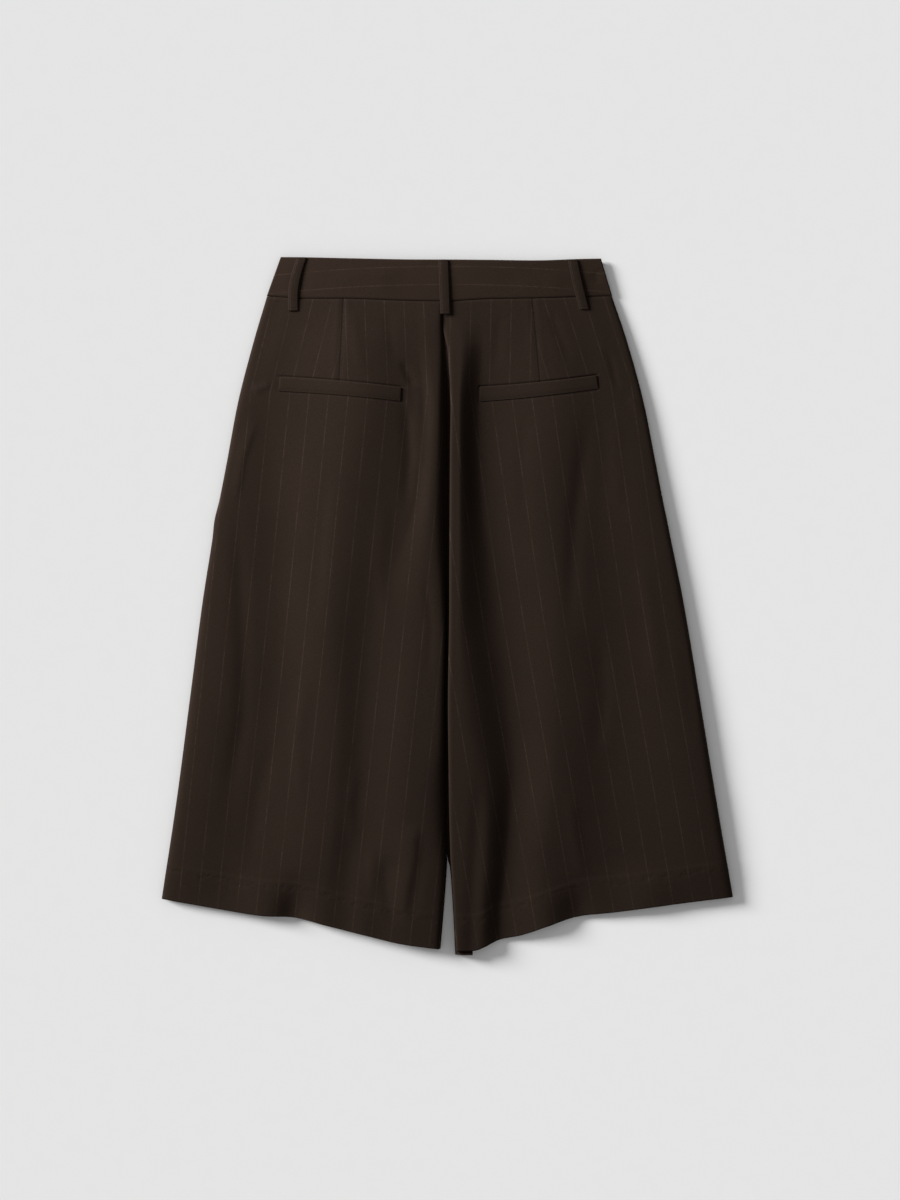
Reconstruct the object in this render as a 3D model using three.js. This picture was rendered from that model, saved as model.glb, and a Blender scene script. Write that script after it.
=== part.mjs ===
// Wide-leg bermuda shorts in pinstriped suiting, laid flat with the back up.
// Millimetres: +X to the right as seen from above, +Y towards the waist, +Z up.
// The origin is on the surface that the shorts lie on, under the middle of their outline.
import * as THREE from "three";

// Driving sizes
const CLOTH = 1.2; // wall of one layer of suiting
const HEM_WALL = 2.0; // wall where the hem is turned up inside
const HEM_TURN_UP = 36;
const HEM_STEP = 2; // length over which the turn-up's raw edge thins out
const SEAM_GAP = 0.3;
const BAND_WALL = 2.0; // two layers of suiting with a stiffener
const BAND_BULGE = 0.3; // how far the back waistband swells between its edges
const FRONT_BAND_LOWER = 3; // the front waistband's top lies this far below the back's
const LOOP_WIDTH = 9.6;
const LOOP_WALL = 1.2;
const LOOP_SLACK = 1.3; // how far a belt loop stands off the waistband
const LOOP_TAIL = 13; // how far a belt loop runs below the waistband
const LOOP_CROWN = 0.2; // how far a belt loop's middle stands above its edges
const LOOP_SETBACK = { back: 0.4, front: 3.6 }; // from the waistband's top to a loop's upper end
const WELT_WALL = 1.0;
const WELT_GAP = 0.4;
const CENTRE_FRONT_X = -4;
const FRONT_HEM_SHORTER = 4; // the front hem lies this far above the back hem
const HEM_TAB = { width: 17, y: -348.4 }; // the one place where the front hem shows
const FRONT_LOOPS_X = { left: -96, right: 84 };
const LOOP_BUMP = { plateau: 11, reach: 26, below: 2, height: LOOP_WALL + SEAM_GAP };
const ZIP = { width: 24, length: 122, wall: 1.0, belowSeam: 2, offset: 1 };
const HOOK = { width: 22, height: 12, wall: 0.8, y: 328 };
const STEEPNESS = { left: 2.2, right: 3.0 }; // how square each leg's inner shoulder is
const ROUND = 2; // the same measure for the quarter turn at a side seam

const COLOURS = {
  cloth: { color: 0x2e2621, roughness: 0.85, metalness: 0 },
  zip: { color: 0x241e1a, roughness: 0.8, metalness: 0 },
  metal: { color: 0x8c8c8c, roughness: 0.35, metalness: 1 },
};

// A table's rows as records with named columns
function named(columns, rows) {
  return rows.map((row) => Object.fromEntries(columns.map((column, i) => [column, row[i]])));
}

// The outline from above: the side seams from waist to hem
const OUTLINE = [
  { y: 309, left: -181, right: 164 },
  { y: 266, left: -193.7, right: 178.5 },
  { y: 206, left: -209.3, right: 195 },
  { y: 146, left: -220.6, right: 207 },
  { y: 106, left: -228.4, right: 214.7 },
  { y: 86, left: -233.3, right: 218.9 },
  { y: 66, left: -235.6, right: 222.9 },
  { y: 6, left: -245, right: 235 },
  { y: -94, left: -258.1, right: 251.8 },
  { y: -194, left: -271.2, right: 268.2 },
  { y: -292, left: -286, right: 285 },
];

// The waistband's two long edges, and how high its upper face lies
const BAND = [
  { x: -181, seam: 309.6, top: 348.7, z: 4.4 },
  { x: -145, seam: 307.2, top: 348.4, z: 5.9 },
  { x: -95, seam: 306.8, top: 347.2, z: 7.2 },
  { x: -40, seam: 304.8, top: 346.1, z: 7.5 },
  { x: 0, seam: 304.4, top: 346, z: 7.5 },
  { x: 40, seam: 306.6, top: 345.7, z: 7.4 },
  { x: 90, seam: 307.4, top: 345.2, z: 7.0 },
  { x: 130, seam: 308.8, top: 346.6, z: 5.9 },
  { x: 164, seam: 309.6, top: 347.4, z: 4.4 },
];
const BAND_TOP_ENDS = { left: -167, right: 152.8 };
const BAND_BOTTOM_ENDS = { left: -181, right: 164 };

// The back hem from above
const HEMS = {
  left: [
    { x: -286, y: -292.5 },
    { x: -221, y: -304 },
    { x: -186.5, y: -309.2 },
    { x: -152, y: -311.4 },
    { x: -121.5, y: -319.2 },
    { x: -82, y: -329 },
    { x: -47.5, y: -337.2 },
    { x: -7.5, y: -342.8 },
  ],
  right: [
    { x: 5, y: -344 },
    { x: 25.5, y: -344 },
    { x: 34, y: -341.6 },
    { x: 51.5, y: -333.4 },
    { x: 72.5, y: -329 },
    { x: 98, y: -320.4 },
    { x: 128, y: -310.6 },
    { x: 167, y: -306 },
    { x: 235, y: -296.8 },
    { x: 285, y: -290.6 },
  ],
};

// Sections of the back, one row for each: where every fold line lies and how high the upper face
// stands there. From the side seam inwards: rim, hollow, crest, dip, roll, foot, and the seam.
const FOLD_COLUMNS = [
  "y", "rimX", "rimZ", "hollowX", "hollowZ", "crestX", "crestZ",
  "dipX", "dipZ", "rollX", "rollZ", "footX", "footZ", "seamX",
];
const FOLDS = {
  left: named(FOLD_COLUMNS, [
    [ 309, -171, 5.2, -150, 5.9,  -96,  7.2, -36, 7.4, -20,  7.4,   -8, 7.2, -4.2],
    [ 256, -187, 6.2, -168, 6.8,  -86,   13, -32, 9.2, -18, 10.2, -5.6, 4.2,   -3],
    [ 206, -198,   7, -179, 6.6,  -84, 14.5, -31, 9.4, -17, 11.8, -4.4, 4.1, -1.7],
    [ 156, -208, 7.6, -177,   6,  -94, 14.4, -34, 9.2, -18, 12.4, -4.2, 4.1, -1.3],
    [  96, -219,   8, -176, 5.6, -104, 13.6, -39,   9, -21, 12.4, -4.2, 2.8, -1.2],
    [ -14, -229,   9, -171,   5, -117, 12.4, -73, 8.2, -26,   12, -2.7, 2.8, -1.4],
    [ -94, -234, 9.6, -175, 4.7, -113, 11.2, -81, 7.8, -32, 12.8,   -4, 2.8, -2.5],
    [-204, -256, 9.8, -207, 4.6, -115, 11.8, -88, 8.4, -38, 13.4, -3.4, 2.8,   -2],
    [-262, -260,  10, -216,   6, -122, 11.6, -96, 8.6, -42, 12.6, -2.6, 4.2, -1.2],
    [-304, -264, 8.4, -222, 8.2, -126, 10.6, -96,   9, -44, 11.6, -5.6, 4.4, -4.2],
    [-344, -268,   7, -226,   8, -128,   10, -98,   9, -46, 10.6,   -9, 4.4, -7.6],
  ]),
  right: named(FOLD_COLUMNS, [
    [ 309, 154,  5.2, 128, 5.9,  88,  6.9, 34, 7.2,   14,  7.3,    0, 7.2, -3.9],
    [ 256, 172,  6.4, 150,   7, 102,  9.4, 35,   6,   13, 11.4,  1.8, 4.2, -2.7],
    [ 206, 185,  7.2, 156, 7.4, 110,  9.8, 34,   4,   12, 13.6,    3, 4.1, -1.4],
    [ 156, 194,    8, 158, 6.6, 106, 10.2, 36, 3.6,   12, 14.2,  2.4, 4.1,   -1],
    [  96, 205,  8.8, 156, 6.2, 104,   10, 41, 3.2, 11.6, 14.6,  1.6, 2.8, -0.9],
    [ -14, 223,  9.6, 165, 6.4, 112,  9.2, 54,   3,   12,   15,  1.1, 2.8, -0.3],
    [ -94, 238, 10.4, 167, 5.6, 110,  8.4, 65,   3,   12,   15, -0.1, 2.8, -1.4],
    [-204, 254, 10.8, 174, 5.2, 104,  8.6, 66, 3.2,   13,   14,  1.1, 2.8, -0.2],
    [-262, 260, 10.4, 172, 5.4,  94,  8.6, 60, 4.4,   14, 12.8,  4.6, 4.2,  3.2],
    [-304, 262,  8.6, 168,   7,  92,    9, 55, 4.6,   20, 11.4,    7, 4.4,  5.6],
    [-344, 264,    7, 164,   7,  90,  8.6, 50, 4.8,   24,   10,  8.8, 4.4,  7.4],
  ]),
};

// Short folds that open towards the hem: where each starts and ends, how far it rises or sinks
const HEM_FOLDS = {
  left: [
    { startX: -196, startY: -240, endX: -184, endY: -309, rise: 2.6, width: 22 },
    { startX: -150, startY: -258, endX: -154, endY: -311, rise: -5, width: 15 },
    { startX: -76, startY: -220, endX: -76, endY: -331, rise: 3, width: 13 },
    { startX: -58, startY: -225, endX: -57, endY: -335, rise: -3.2, width: 10 },
    { startX: -27, startY: -200, endX: -32, endY: -340, rise: -3.6, width: 10 },
  ],
  right: [
    { startX: 20, startY: -190, endX: 18, endY: -344, rise: -3.4, width: 7 },
    { startX: 36, startY: -205, endX: 33, endY: -340, rise: 3, width: 8 },
    { startX: 96, startY: -250, endX: 99, endY: -320, rise: 2.4, width: 15 },
    { startX: 128, startY: -262, endX: 131, endY: -310, rise: -3, width: 15 },
    { startX: 196, startY: -240, endX: 200, endY: -301, rise: 2.6, width: 26 },
  ],
};

// Corners of the two back pocket welts as [x, y] from above, and how far their edges bow
const WELTS = {
  left: {
    outerTop: [-168, 228.9],
    innerTop: [-46.4, 218.1],
    innerBottom: [-47.4, 204.4],
    outerBottom: [-169.2, 214.6],
    bow: -1,
  },
  right: {
    outerTop: [148.3, 230.3],
    innerTop: [31.6, 219],
    innerBottom: [31.6, 204.4],
    outerBottom: [150, 217.2],
    bow: 1.4,
  },
};

// Belt loops on the back, from the waistband's top edge to the loop's lower end
const BACK_LOOPS = {
  left: { topX: -146.5, bottomX: -154.5, bend: -1.6 },
  centre: { topX: -4.8, bottomX: -3, bend: 0.2 },
  right: { topX: 124.2, bottomX: 136, bend: -0.6 },
};

// Knots of a section, in order from the side seam to the inner seam, and the wall pieces between two
const KNOTS = ["rim", "hollow", "crest", "dip", "roll", "foot"];
const COLUMNS = {
  left: { edge: 3, rim: 3, hollow: 6, crest: 4, dip: 4, roll: 5, foot: 1 },
  right: { edge: 3, rim: 3, hollow: 3, crest: 6, dip: 5, roll: 6, foot: 1 },
};
const BODY_ROWS = 20; // rows of facets from the waist seam to the turn-up
const HEM_ROWS = 3;
const FRONT_BODY_ROWS = 9;
const FRONT_TOP_ROWS = [0, 6, LOOP_TAIL + 1, LOOP_TAIL + 4, LOOP_TAIL + 14, LOOP_TAIL + 30];
const FRONT_HEM_ROWS = [HEM_TURN_UP + HEM_STEP, HEM_TURN_UP, HEM_TURN_UP / 2, 0];
const TAB_RAMP = 0.003; // share of the front's width over which the tab's end steps up
const BAND_STATIONS = 22;
const LOOP_STATIONS = { back: 9, front: 4 };
const WELT_FACETS = { across: 14, down: 2 };
const SETTLING_PASSES = 5; // x and y each depend on the other, and settle within these passes
const SLOPE_STEP = 0.5; // distance over which a slope is measured
const UNDER_LOOP_REACH = 2.5; // distance along a belt loop over which it clears what lies below

// A smooth curve through a table's column, where key is the column that the rows are ordered by
function along(table, key, at, column) {
  const rising = table[1][key] > table[0][key];
  const last = table.length - 1;
  let i = 0;
  while (i < last - 1 && (rising ? at > table[i + 1][key] : at < table[i + 1][key])) i += 1;
  const [a, b] = [table[i], table[i + 1]];
  const span = b[key] - a[key];
  const slope = (low, high) => (high[column] - low[column]) / (high[key] - low[key]);
  const t = (at - a[key]) / span;
  const startSlope = i > 0 ? slope(table[i - 1], b) : slope(a, b);
  const endSlope = i < last - 1 ? slope(a, table[i + 2]) : slope(a, b);
  if (t < 0) return a[column] + (at - a[key]) * startSlope;
  if (t > 1) return b[column] + (at - b[key]) * endSlope;
  const [t2, t3] = [t * t, t * t * t];
  return (
    (2 * t3 - 3 * t2 + 1) * a[column] +
    (t3 - 2 * t2 + t) * span * startSlope +
    (3 * t2 - 2 * t3) * b[column] +
    (t3 - t2) * span * endSlope
  );
}

const mix = (a, b, t) => a + (b - a) * t;
const clamp01 = (t) => Math.min(1, Math.max(0, t));
const smooth = (t) => clamp01(t) * clamp01(t) * (3 - 2 * clamp01(t));

const outlineX = (leg, y) => along(OUTLINE, "y", y, leg);
const seamX = (leg, y) => along(FOLDS[leg], "y", y, "seamX");
const bandSeamY = (x) => along(BAND, "x", x, "seam");
const bandTopY = (x) => along(BAND, "x", x, "top");
const bandZ = (x) => along(BAND, "x", x, "z");
const hemY = (leg, x) => along(HEMS[leg], "x", x, "y");

// How far a point is above the back hem, and the walls there
const aboveHem = (leg, x, y) => y - hemY(leg, x);
const turnUp = (distance) => smooth((HEM_TURN_UP + HEM_STEP - distance) / HEM_STEP);
const wallAt = (distance) => mix(CLOTH, HEM_WALL, turnUp(distance));

// The rise of the short folds near the hem
function hemFoldRise(leg, x, y) {
  let rise = 0;
  for (const fold of HEM_FOLDS[leg]) {
    const t = (fold.startY - y) / (fold.startY - fold.endY);
    if (t <= 0) continue;
    const away = (x - mix(fold.startX, fold.endX, t)) / fold.width;
    rise += fold.rise * smooth(t) * Math.exp(-away * away);
  }
  return rise;
}

// One section of a leg's back: its knots at y, from the side seam to the inner seam
function sectionAt(leg, y) {
  const rows = FOLDS[leg];
  const knots = KNOTS.map((name) => ({
    x: along(rows, "y", y, `${name}X`),
    z: along(rows, "y", y, `${name}Z`),
  }));
  return { edge: outlineX(leg, y), knots, seam: seamX(leg, y) };
}

// The quarter turn of a rounded edge: 0 at its top and 1 at its foot gives 1 down to 0
const shoulder = (t, power) => Math.pow(Math.max(0, 1 - Math.pow(t, power)), 1 / power);

// A point of the back's upper face in the plane of one section; place runs from 0 at the side
// seam to 7 at the inner seam, and each whole number is a knot
function sectionPoint(leg, y, place) {
  const { edge, knots, seam } = sectionAt(leg, y);
  const span = Math.min(Math.floor(place), KNOTS.length);
  const t = place - span;
  if (span === 0) {
    const turn = Math.cos((t * Math.PI) / 2);
    const [rim, seat] = [knots[0], lowestZ(leg, edge, y)];
    return { x: mix(rim.x, edge, turn), z: mix(seat, rim.z, shoulder(turn, ROUND)) };
  }
  if (span === KNOTS.length) {
    const foot = knots[KNOTS.length - 1];
    return { x: mix(foot.x, seam, t), z: foot.z };
  }
  const [a, b] = [knots[span - 1], knots[span]];
  if (span === KNOTS.length - 1) {
    const power = STEEPNESS[leg];
    const turn = Math.pow(Math.sin((t * Math.PI) / 2), 2 / power);
    return { x: mix(a.x, b.x, turn), z: mix(b.z, a.z, shoulder(turn, power)) };
  }
  return { x: mix(a.x, b.x, t), z: mix(a.z, b.z, smooth(t)) };
}

// The height at which the back's edge stops above the front's inner face
function lowestZ(leg, x, y) {
  return wallAt(aboveHem(leg, x, y) - FRONT_HEM_SHORTER - HEM_STEP) + SEAM_GAP;
}

// How much of a short hem fold shows at a place across the leg: none at the seams
const foldShare = (place) => smooth(place) * smooth(KNOTS.length - place);

// The back's upper face as a height over x and y
function backZ(leg, x, y) {
  const { edge, knots, seam } = sectionAt(leg, y);
  const stops = [edge, ...knots.map((k) => k.x), seam];
  const inwards = leg === "left" ? 1 : -1;
  let span = 0;
  while (span < stops.length - 2 && (x - stops[span + 1]) * inwards > 0) span += 1;
  const t = clamp01((x - stops[span]) / (stops[span + 1] - stops[span]));
  let height;
  if (span === 0) height = mix(lowestZ(leg, edge, y), knots[0].z, shoulder(1 - t, ROUND));
  else if (span === KNOTS.length) height = knots[KNOTS.length - 1].z;
  else {
    const [a, b] = [knots[span - 1], knots[span]];
    height =
      span === KNOTS.length - 1
        ? mix(b.z, a.z, shoulder(t, STEEPNESS[leg]))
        : mix(a.z, b.z, smooth(t));
  }
  return height + hemFoldRise(leg, x, y) * foldShare(span + t);
}

// The direction that the back's upper face looks in
function facing(leg, x, y) {
  const step = SLOPE_STEP;
  const slopeX = (backZ(leg, x + step, y) - backZ(leg, x - step, y)) / (2 * step);
  const slopeY = (backZ(leg, x, y + step) - backZ(leg, x, y - step)) / (2 * step);
  return new THREE.Vector3(-slopeX, -slopeY, 1).normalize();
}

// A closed solid from a grid of outer points and the matching inner points
function wallSolid(outer, inner) {
  const [rows, columns] = [outer.length, outer[0].length];
  const points = [...outer.flat(), ...inner.flat()];
  const positions = new Float32Array(points.flat());
  const at = (layer, row, column) => layer * rows * columns + row * columns + column;
  const index = [];
  const quad = (a, b, c, d) => index.push(a, b, c, a, c, d);
  for (let r = 0; r < rows - 1; r += 1) {
    for (let c = 0; c < columns - 1; c += 1) {
      quad(at(0, r, c), at(0, r, c + 1), at(0, r + 1, c + 1), at(0, r + 1, c));
      quad(at(1, r, c), at(1, r + 1, c), at(1, r + 1, c + 1), at(1, r, c + 1));
    }
  }
  for (let r = 0; r < rows - 1; r += 1) {
    quad(at(0, r, 0), at(0, r + 1, 0), at(1, r + 1, 0), at(1, r, 0));
    quad(at(0, r + 1, columns - 1), at(0, r, columns - 1), at(1, r, columns - 1), at(1, r + 1, columns - 1));
  }
  for (let c = 0; c < columns - 1; c += 1) {
    quad(at(0, 0, c + 1), at(0, 0, c), at(1, 0, c), at(1, 0, c + 1));
    quad(at(0, rows - 1, c), at(0, rows - 1, c + 1), at(1, rows - 1, c + 1), at(1, rows - 1, c));
  }
  const geometry = new THREE.BufferGeometry();
  geometry.setAttribute("position", new THREE.BufferAttribute(positions, 3));
  geometry.setIndex(facingOut(positions, index));
  geometry.computeVertexNormals();
  return geometry;
}

// The triangles as given, or turned over if the solid they close is inside out
function facingOut(positions, index) {
  const corner = (i) => new THREE.Vector3().fromArray(positions, index[i] * 3);
  let volume = 0;
  for (let i = 0; i < index.length; i += 3) {
    volume += corner(i).dot(corner(i + 1).cross(corner(i + 2)));
  }
  if (volume > 0) return index;
  const turned = [];
  for (let i = 0; i < index.length; i += 3) turned.push(index[i], index[i + 2], index[i + 1]);
  return turned;
}

function namedMesh(name, geometry, finish) {
  const mesh = new THREE.Mesh(geometry, new THREE.MeshStandardMaterial(COLOURS[finish]));
  mesh.name = name;
  return mesh;
}

// Places across a back panel: the same number of facets between two knots in every row
function placesAcross(leg) {
  const places = [];
  Object.values(COLUMNS[leg]).forEach((count, span) => {
    for (let i = 0; i < count; i += 1) places.push(span + i / count);
  });
  places.push(KNOTS.length + 1);
  return places;
}

// The y of a row of facets where the panel is at x: row 0 is the waist seam and the last the hem
function rowY(leg, x, row) {
  const hem = hemY(leg, x);
  if (row > BODY_ROWS) {
    return hem + (HEM_TURN_UP * (BODY_ROWS + 1 + HEM_ROWS - row)) / HEM_ROWS;
  }
  const top = bandSeamY(x) - SEAM_GAP / 2;
  return mix(top, hem + HEM_TURN_UP + HEM_STEP, row / BODY_ROWS);
}

// A leg's back panel: folds, a rounded shoulder at each seam, and the turned-up hem inside
function backPanel(leg) {
  const places = placesAcross(leg);
  const [outer, inner] = [[], []];
  for (let row = 0; row <= BODY_ROWS + 1 + HEM_ROWS; row += 1) {
    const line = places.map((place) => {
      let y = rowY(leg, 0, row);
      let point = sectionPoint(leg, y, place);
      for (let pass = 0; pass < SETTLING_PASSES; pass += 1) {
        y = rowY(leg, point.x, row);
        point = sectionPoint(leg, y, place);
      }
      return { x: point.x, y, z: point.z + hemFoldRise(leg, point.x, y) * foldShare(place) };
    });
    outer.push(line.map((p) => [p.x, p.y, p.z]));
    inner.push(
      line.map((p, i) => {
        const [before, after] = [line[Math.max(0, i - 1)], line[Math.min(line.length - 1, i + 1)]];
        const across = new THREE.Vector2(after.x - before.x, after.z - before.z).normalize();
        if (i === 0) across.set(0, 1);
        if (i === line.length - 1) across.set(leg === "left" ? 1 : -1, 0);
        const wall = wallAt(aboveHem(leg, p.x, p.y));
        const side = leg === "left" ? 1 : -1;
        return [p.x + across.y * wall * side, p.y, p.z - across.x * wall * side];
      }),
    );
  }
  return namedMesh(`back_${leg}`, wallSolid(outer, inner), "cloth");
}

// How far the front is lifted where it crosses the belt loop beneath it
function loopBump(leg, x, y) {
  const centre = FRONT_LOOPS_X[leg];
  const ramp = LOOP_BUMP.reach - LOOP_BUMP.plateau;
  const side = 1 - smooth((Math.abs(x - centre) - LOOP_BUMP.plateau) / ramp);
  const below = bandSeamY(x) - y - LOOP_TAIL - LOOP_BUMP.below;
  return LOOP_BUMP.height * side * (1 - smooth(below / LOOP_BUMP.reach));
}

// The x of the places where a front panel and its waistband bend, from the side seam inwards
function frontPlaces(leg) {
  const inwards = leg === "left" ? 1 : -1;
  const loop = FRONT_LOOPS_X[leg];
  const { plateau, reach } = LOOP_BUMP;
  const middle = (plateau + reach) / 2;
  const aroundLoop = [-reach, -middle, -plateau, plateau, middle, reach].map((d) => loop + d * inwards);
  const edge = BAND_BOTTOM_ENDS[leg];
  const [outside, inside] = [aroundLoop[0], aroundLoop.at(-1)];
  const seam = CENTRE_FRONT_X;
  const outer = [1 / 3, 2 / 3].map((t) => mix(edge, outside, t));
  const inner = [1 / 3, 2 / 3].map((t) => mix(inside, seam, t));
  return [...outer, ...aroundLoop, ...inner];
}

// A leg's front panel, which lies on the surface under the back
function frontPanel(leg) {
  const topY = bandSeamY(FRONT_LOOPS_X[leg]);
  const [topEdge, topSeam] = [outlineX(leg, topY), seamX(leg, topY)];
  const tabShare = 1 - HEM_TAB.width / Math.abs(HEMS[leg][0].x - HEMS[leg].at(-1).x);
  const bends = frontPlaces(leg).map((x) => (x - topEdge) / (topSeam - topEdge));
  const shares = [0, ...bends, tabShare - TAB_RAMP, tabShare, 1].sort((a, b) => a - b);
  const [outer, inner] = [[], []];
  const addRow = (yAt, hemDistance) => {
    const line = shares.map((share) => {
      let x = mix(topEdge, topSeam, share);
      let y = yAt(x, share);
      for (let pass = 0; pass < SETTLING_PASSES; pass += 1) {
        x = mix(outlineX(leg, y), seamX(leg, y), share);
        y = yAt(x, share);
      }
      return { x, y, z: loopBump(leg, x, y) };
    });
    const wall = wallAt(hemDistance);
    outer.push(line.map((p) => [p.x, p.y, p.z]));
    inner.push(line.map((p) => [p.x, p.y, p.z + wall]));
  };
  const topAt = (x) => bandSeamY(x) - SEAM_GAP / 2;
  const hemAt = (x, share) => {
    if (leg === "right" && share >= tabShare) return HEM_TAB.y;
    return hemY(leg, x) + FRONT_HEM_SHORTER;
  };
  const [bodyTop, bodyFoot] = [FRONT_TOP_ROWS.at(-1), FRONT_HEM_ROWS[0]];
  const inBody = HEM_TURN_UP * 2;
  FRONT_TOP_ROWS.forEach((d) => addRow((x) => topAt(x) - d, inBody));
  for (let i = 1; i <= FRONT_BODY_ROWS; i += 1) {
    const t = i / (FRONT_BODY_ROWS + 1);
    addRow((x, share) => mix(topAt(x) - bodyTop, hemAt(x, share) + bodyFoot, t), inBody);
  }
  FRONT_HEM_ROWS.forEach((d) => addRow((x, share) => hemAt(x, share) + d, d));
  return namedMesh(`front_${leg}`, wallSolid(outer, inner), "cloth");
}

// A solid lofted through rings of points, closed at both ends
function loftSolid(rings) {
  const size = rings[0].length;
  const positions = new Float32Array(rings.flat(2));
  const index = [];
  for (let r = 0; r < rings.length - 1; r += 1) {
    for (let i = 0; i < size; i += 1) {
      const [a, b] = [r * size + i, r * size + ((i + 1) % size)];
      index.push(a, b, b + size, a, b + size, a + size);
    }
  }
  const lastRing = (rings.length - 1) * size;
  for (let i = 1; i < size - 1; i += 1) {
    index.push(0, i + 1, i, lastRing, lastRing + i, lastRing + i + 1);
  }
  const geometry = new THREE.BufferGeometry();
  geometry.setAttribute("position", new THREE.BufferAttribute(positions, 3));
  geometry.setIndex(facingOut(positions, index));
  geometry.computeVertexNormals();
  return geometry;
}

// The waistband's cross-section: share of its height, and depth below its upper face. Its top is a fold.
const BAND_SECTION = [
  { share: 0, depth: 0 },
  { share: 0.5, depth: 0 },
  { share: 0.96, depth: 0 },
  { share: 0.99, depth: 0.45 },
  { share: 1, depth: 1.0 },
  { share: 0.99, depth: 1.55 },
  { share: 0.96, depth: BAND_WALL },
  { share: 0.5, depth: BAND_WALL },
  { share: 0, depth: BAND_WALL },
];

// One length of waistband from startX to endX: its upper face lies at zAt and swells by bulge in
// the middle, and its top edge stops short of the outline by lower
function bandPiece(name, startX, endX, stations, zAt, bulge, lower) {
  const bottomSpan = BAND_BOTTOM_ENDS.right - BAND_BOTTOM_ENDS.left;
  const topSpan = BAND_TOP_ENDS.right - BAND_TOP_ENDS.left;
  const rings = stations.map((station) => {
    const bottomX = mix(startX, endX, station);
    const topX = BAND_TOP_ENDS.left + ((bottomX - BAND_BOTTOM_ENDS.left) / bottomSpan) * topSpan;
    return BAND_SECTION.map(({ share, depth }) => {
      const x = mix(bottomX, topX, share);
      const y = mix(bandSeamY(bottomX) + SEAM_GAP / 2, bandTopY(topX) - lower, share);
      const swell = depth === 0 ? bulge * 4 * share * (1 - share) : 0;
      return [x, y, zAt(x) + swell - depth];
    });
  });
  return namedMesh(name, loftSolid(rings), "cloth");
}

const evenly = (count) => Array.from({ length: count + 1 }, (_, i) => i / count);

// The back waistband, and the two front ones, which meet at the centre front
function waistband() {
  const { left, right } = BAND_BOTTOM_ENDS;
  const back = bandPiece("waistband_back", left, right, evenly(BAND_STATIONS), bandZ, BAND_BULGE, 0);
  const frontPiece = (leg, startX, endX) => {
    const places = [startX, ...frontPlaces(leg), endX].sort((a, b) => a - b);
    const stations = places.map((x) => (x - startX) / (endX - startX));
    const topZ = (x) => BAND_WALL + loopBump(leg, x, bandTopY(x));
    return bandPiece(`waistband_front_${leg}`, startX, endX, stations, topZ, 0, FRONT_BAND_LOWER);
  };
  const leftEnd = CENTRE_FRONT_X - SEAM_GAP / 2;
  const rightEnd = CENTRE_FRONT_X + SEAM_GAP / 2;
  return [back, frontPiece("left", left, leftEnd), frontPiece("right", rightEnd, right)];
}

// The upper face of whatever lies under a back belt loop
function underLoopZ(x, y) {
  if (y > bandSeamY(x)) return bandZ(x) + BAND_BULGE;
  return backZ(x < seamX("left", y) ? "left" : "right", x, y);
}

// A back belt loop: a strip tacked at both ends, slack between them
function backLoop(name, { topX, bottomX, bend }) {
  const topY = bandTopY(topX) - LOOP_SETBACK.back;
  const bottomY = bandSeamY(bottomX) - LOOP_TAIL;
  const [outer, inner] = [[], []];
  for (const t of evenly(LOOP_STATIONS.back)) {
    const x = mix(topX, bottomX, t) + bend * Math.sin(Math.PI * t);
    const y = mix(topY, bottomY, t);
    const edges = [-LOOP_WIDTH / 2, 0, LOOP_WIDTH / 2];
    const reaches = [-UNDER_LOOP_REACH, 0, UNDER_LOOP_REACH];
    const nearby = reaches.flatMap((dy) => edges.map((dx) => underLoopZ(x + dx, y + dy)));
    const z = Math.max(...nearby) + SEAM_GAP + LOOP_SLACK * Math.sin(Math.PI * t);
    outer.push(edges.map((dx) => [x + dx, y, z + LOOP_WALL + (dx === 0 ? LOOP_CROWN : 0)]));
    inner.push(edges.map((dx) => [x + dx, y, z]));
  }
  return namedMesh(name, wallSolid(outer, inner), "cloth");
}

// A front belt loop, pressed flat between the waistband and the surface
function frontLoop(leg) {
  const x = FRONT_LOOPS_X[leg];
  const [outer, inner] = [[], []];
  const [top, bottom] = [bandTopY(x) - LOOP_SETBACK.front, bandSeamY(x) - LOOP_TAIL];
  for (const t of evenly(LOOP_STATIONS.front)) {
    const edges = [-LOOP_WIDTH / 2, LOOP_WIDTH / 2];
    outer.push(edges.map((dx) => [x + dx, mix(top, bottom, t), LOOP_WALL]));
    inner.push(edges.map((dx) => [x + dx, mix(top, bottom, t), 0]));
  }
  return namedMesh(`belt_loop_front_${leg}`, wallSolid(outer, inner), "cloth");
}

// A pocket welt: a folded strip on the back panel, made from the panel's own points
function welt(leg) {
  const { outerTop, innerTop, innerBottom, outerBottom, bow } = WELTS[leg];
  const bilinear = (axis, t, down) =>
    mix(mix(outerTop[axis], innerTop[axis], t), mix(outerBottom[axis], innerBottom[axis], t), down);
  const [outer, inner] = [[], []];
  for (const down of evenly(WELT_FACETS.down)) {
    const line = evenly(WELT_FACETS.across).map((t) => {
      const [x, y] = [bilinear(0, t, down), bilinear(1, t, down) - bow * 4 * t * (1 - t)];
      return { point: new THREE.Vector3(x, y, backZ(leg, x, y)), out: facing(leg, x, y) };
    });
    const moved = (distance) =>
      line.map(({ point, out }) => point.clone().addScaledVector(out, distance).toArray());
    outer.push(moved(WELT_GAP + WELT_WALL));
    inner.push(moved(WELT_GAP));
  }
  return namedMesh(`pocket_welt_${leg}`, wallSolid(outer, inner), "cloth");
}

// A flat plate with its middle at x and y, and its lower face at z
function plate(name, [width, length, wall], [x, y, z], finish) {
  const mesh = namedMesh(name, new THREE.BoxGeometry(width, length, wall), finish);
  mesh.position.set(x, y, z + wall / 2);
  return mesh;
}

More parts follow.
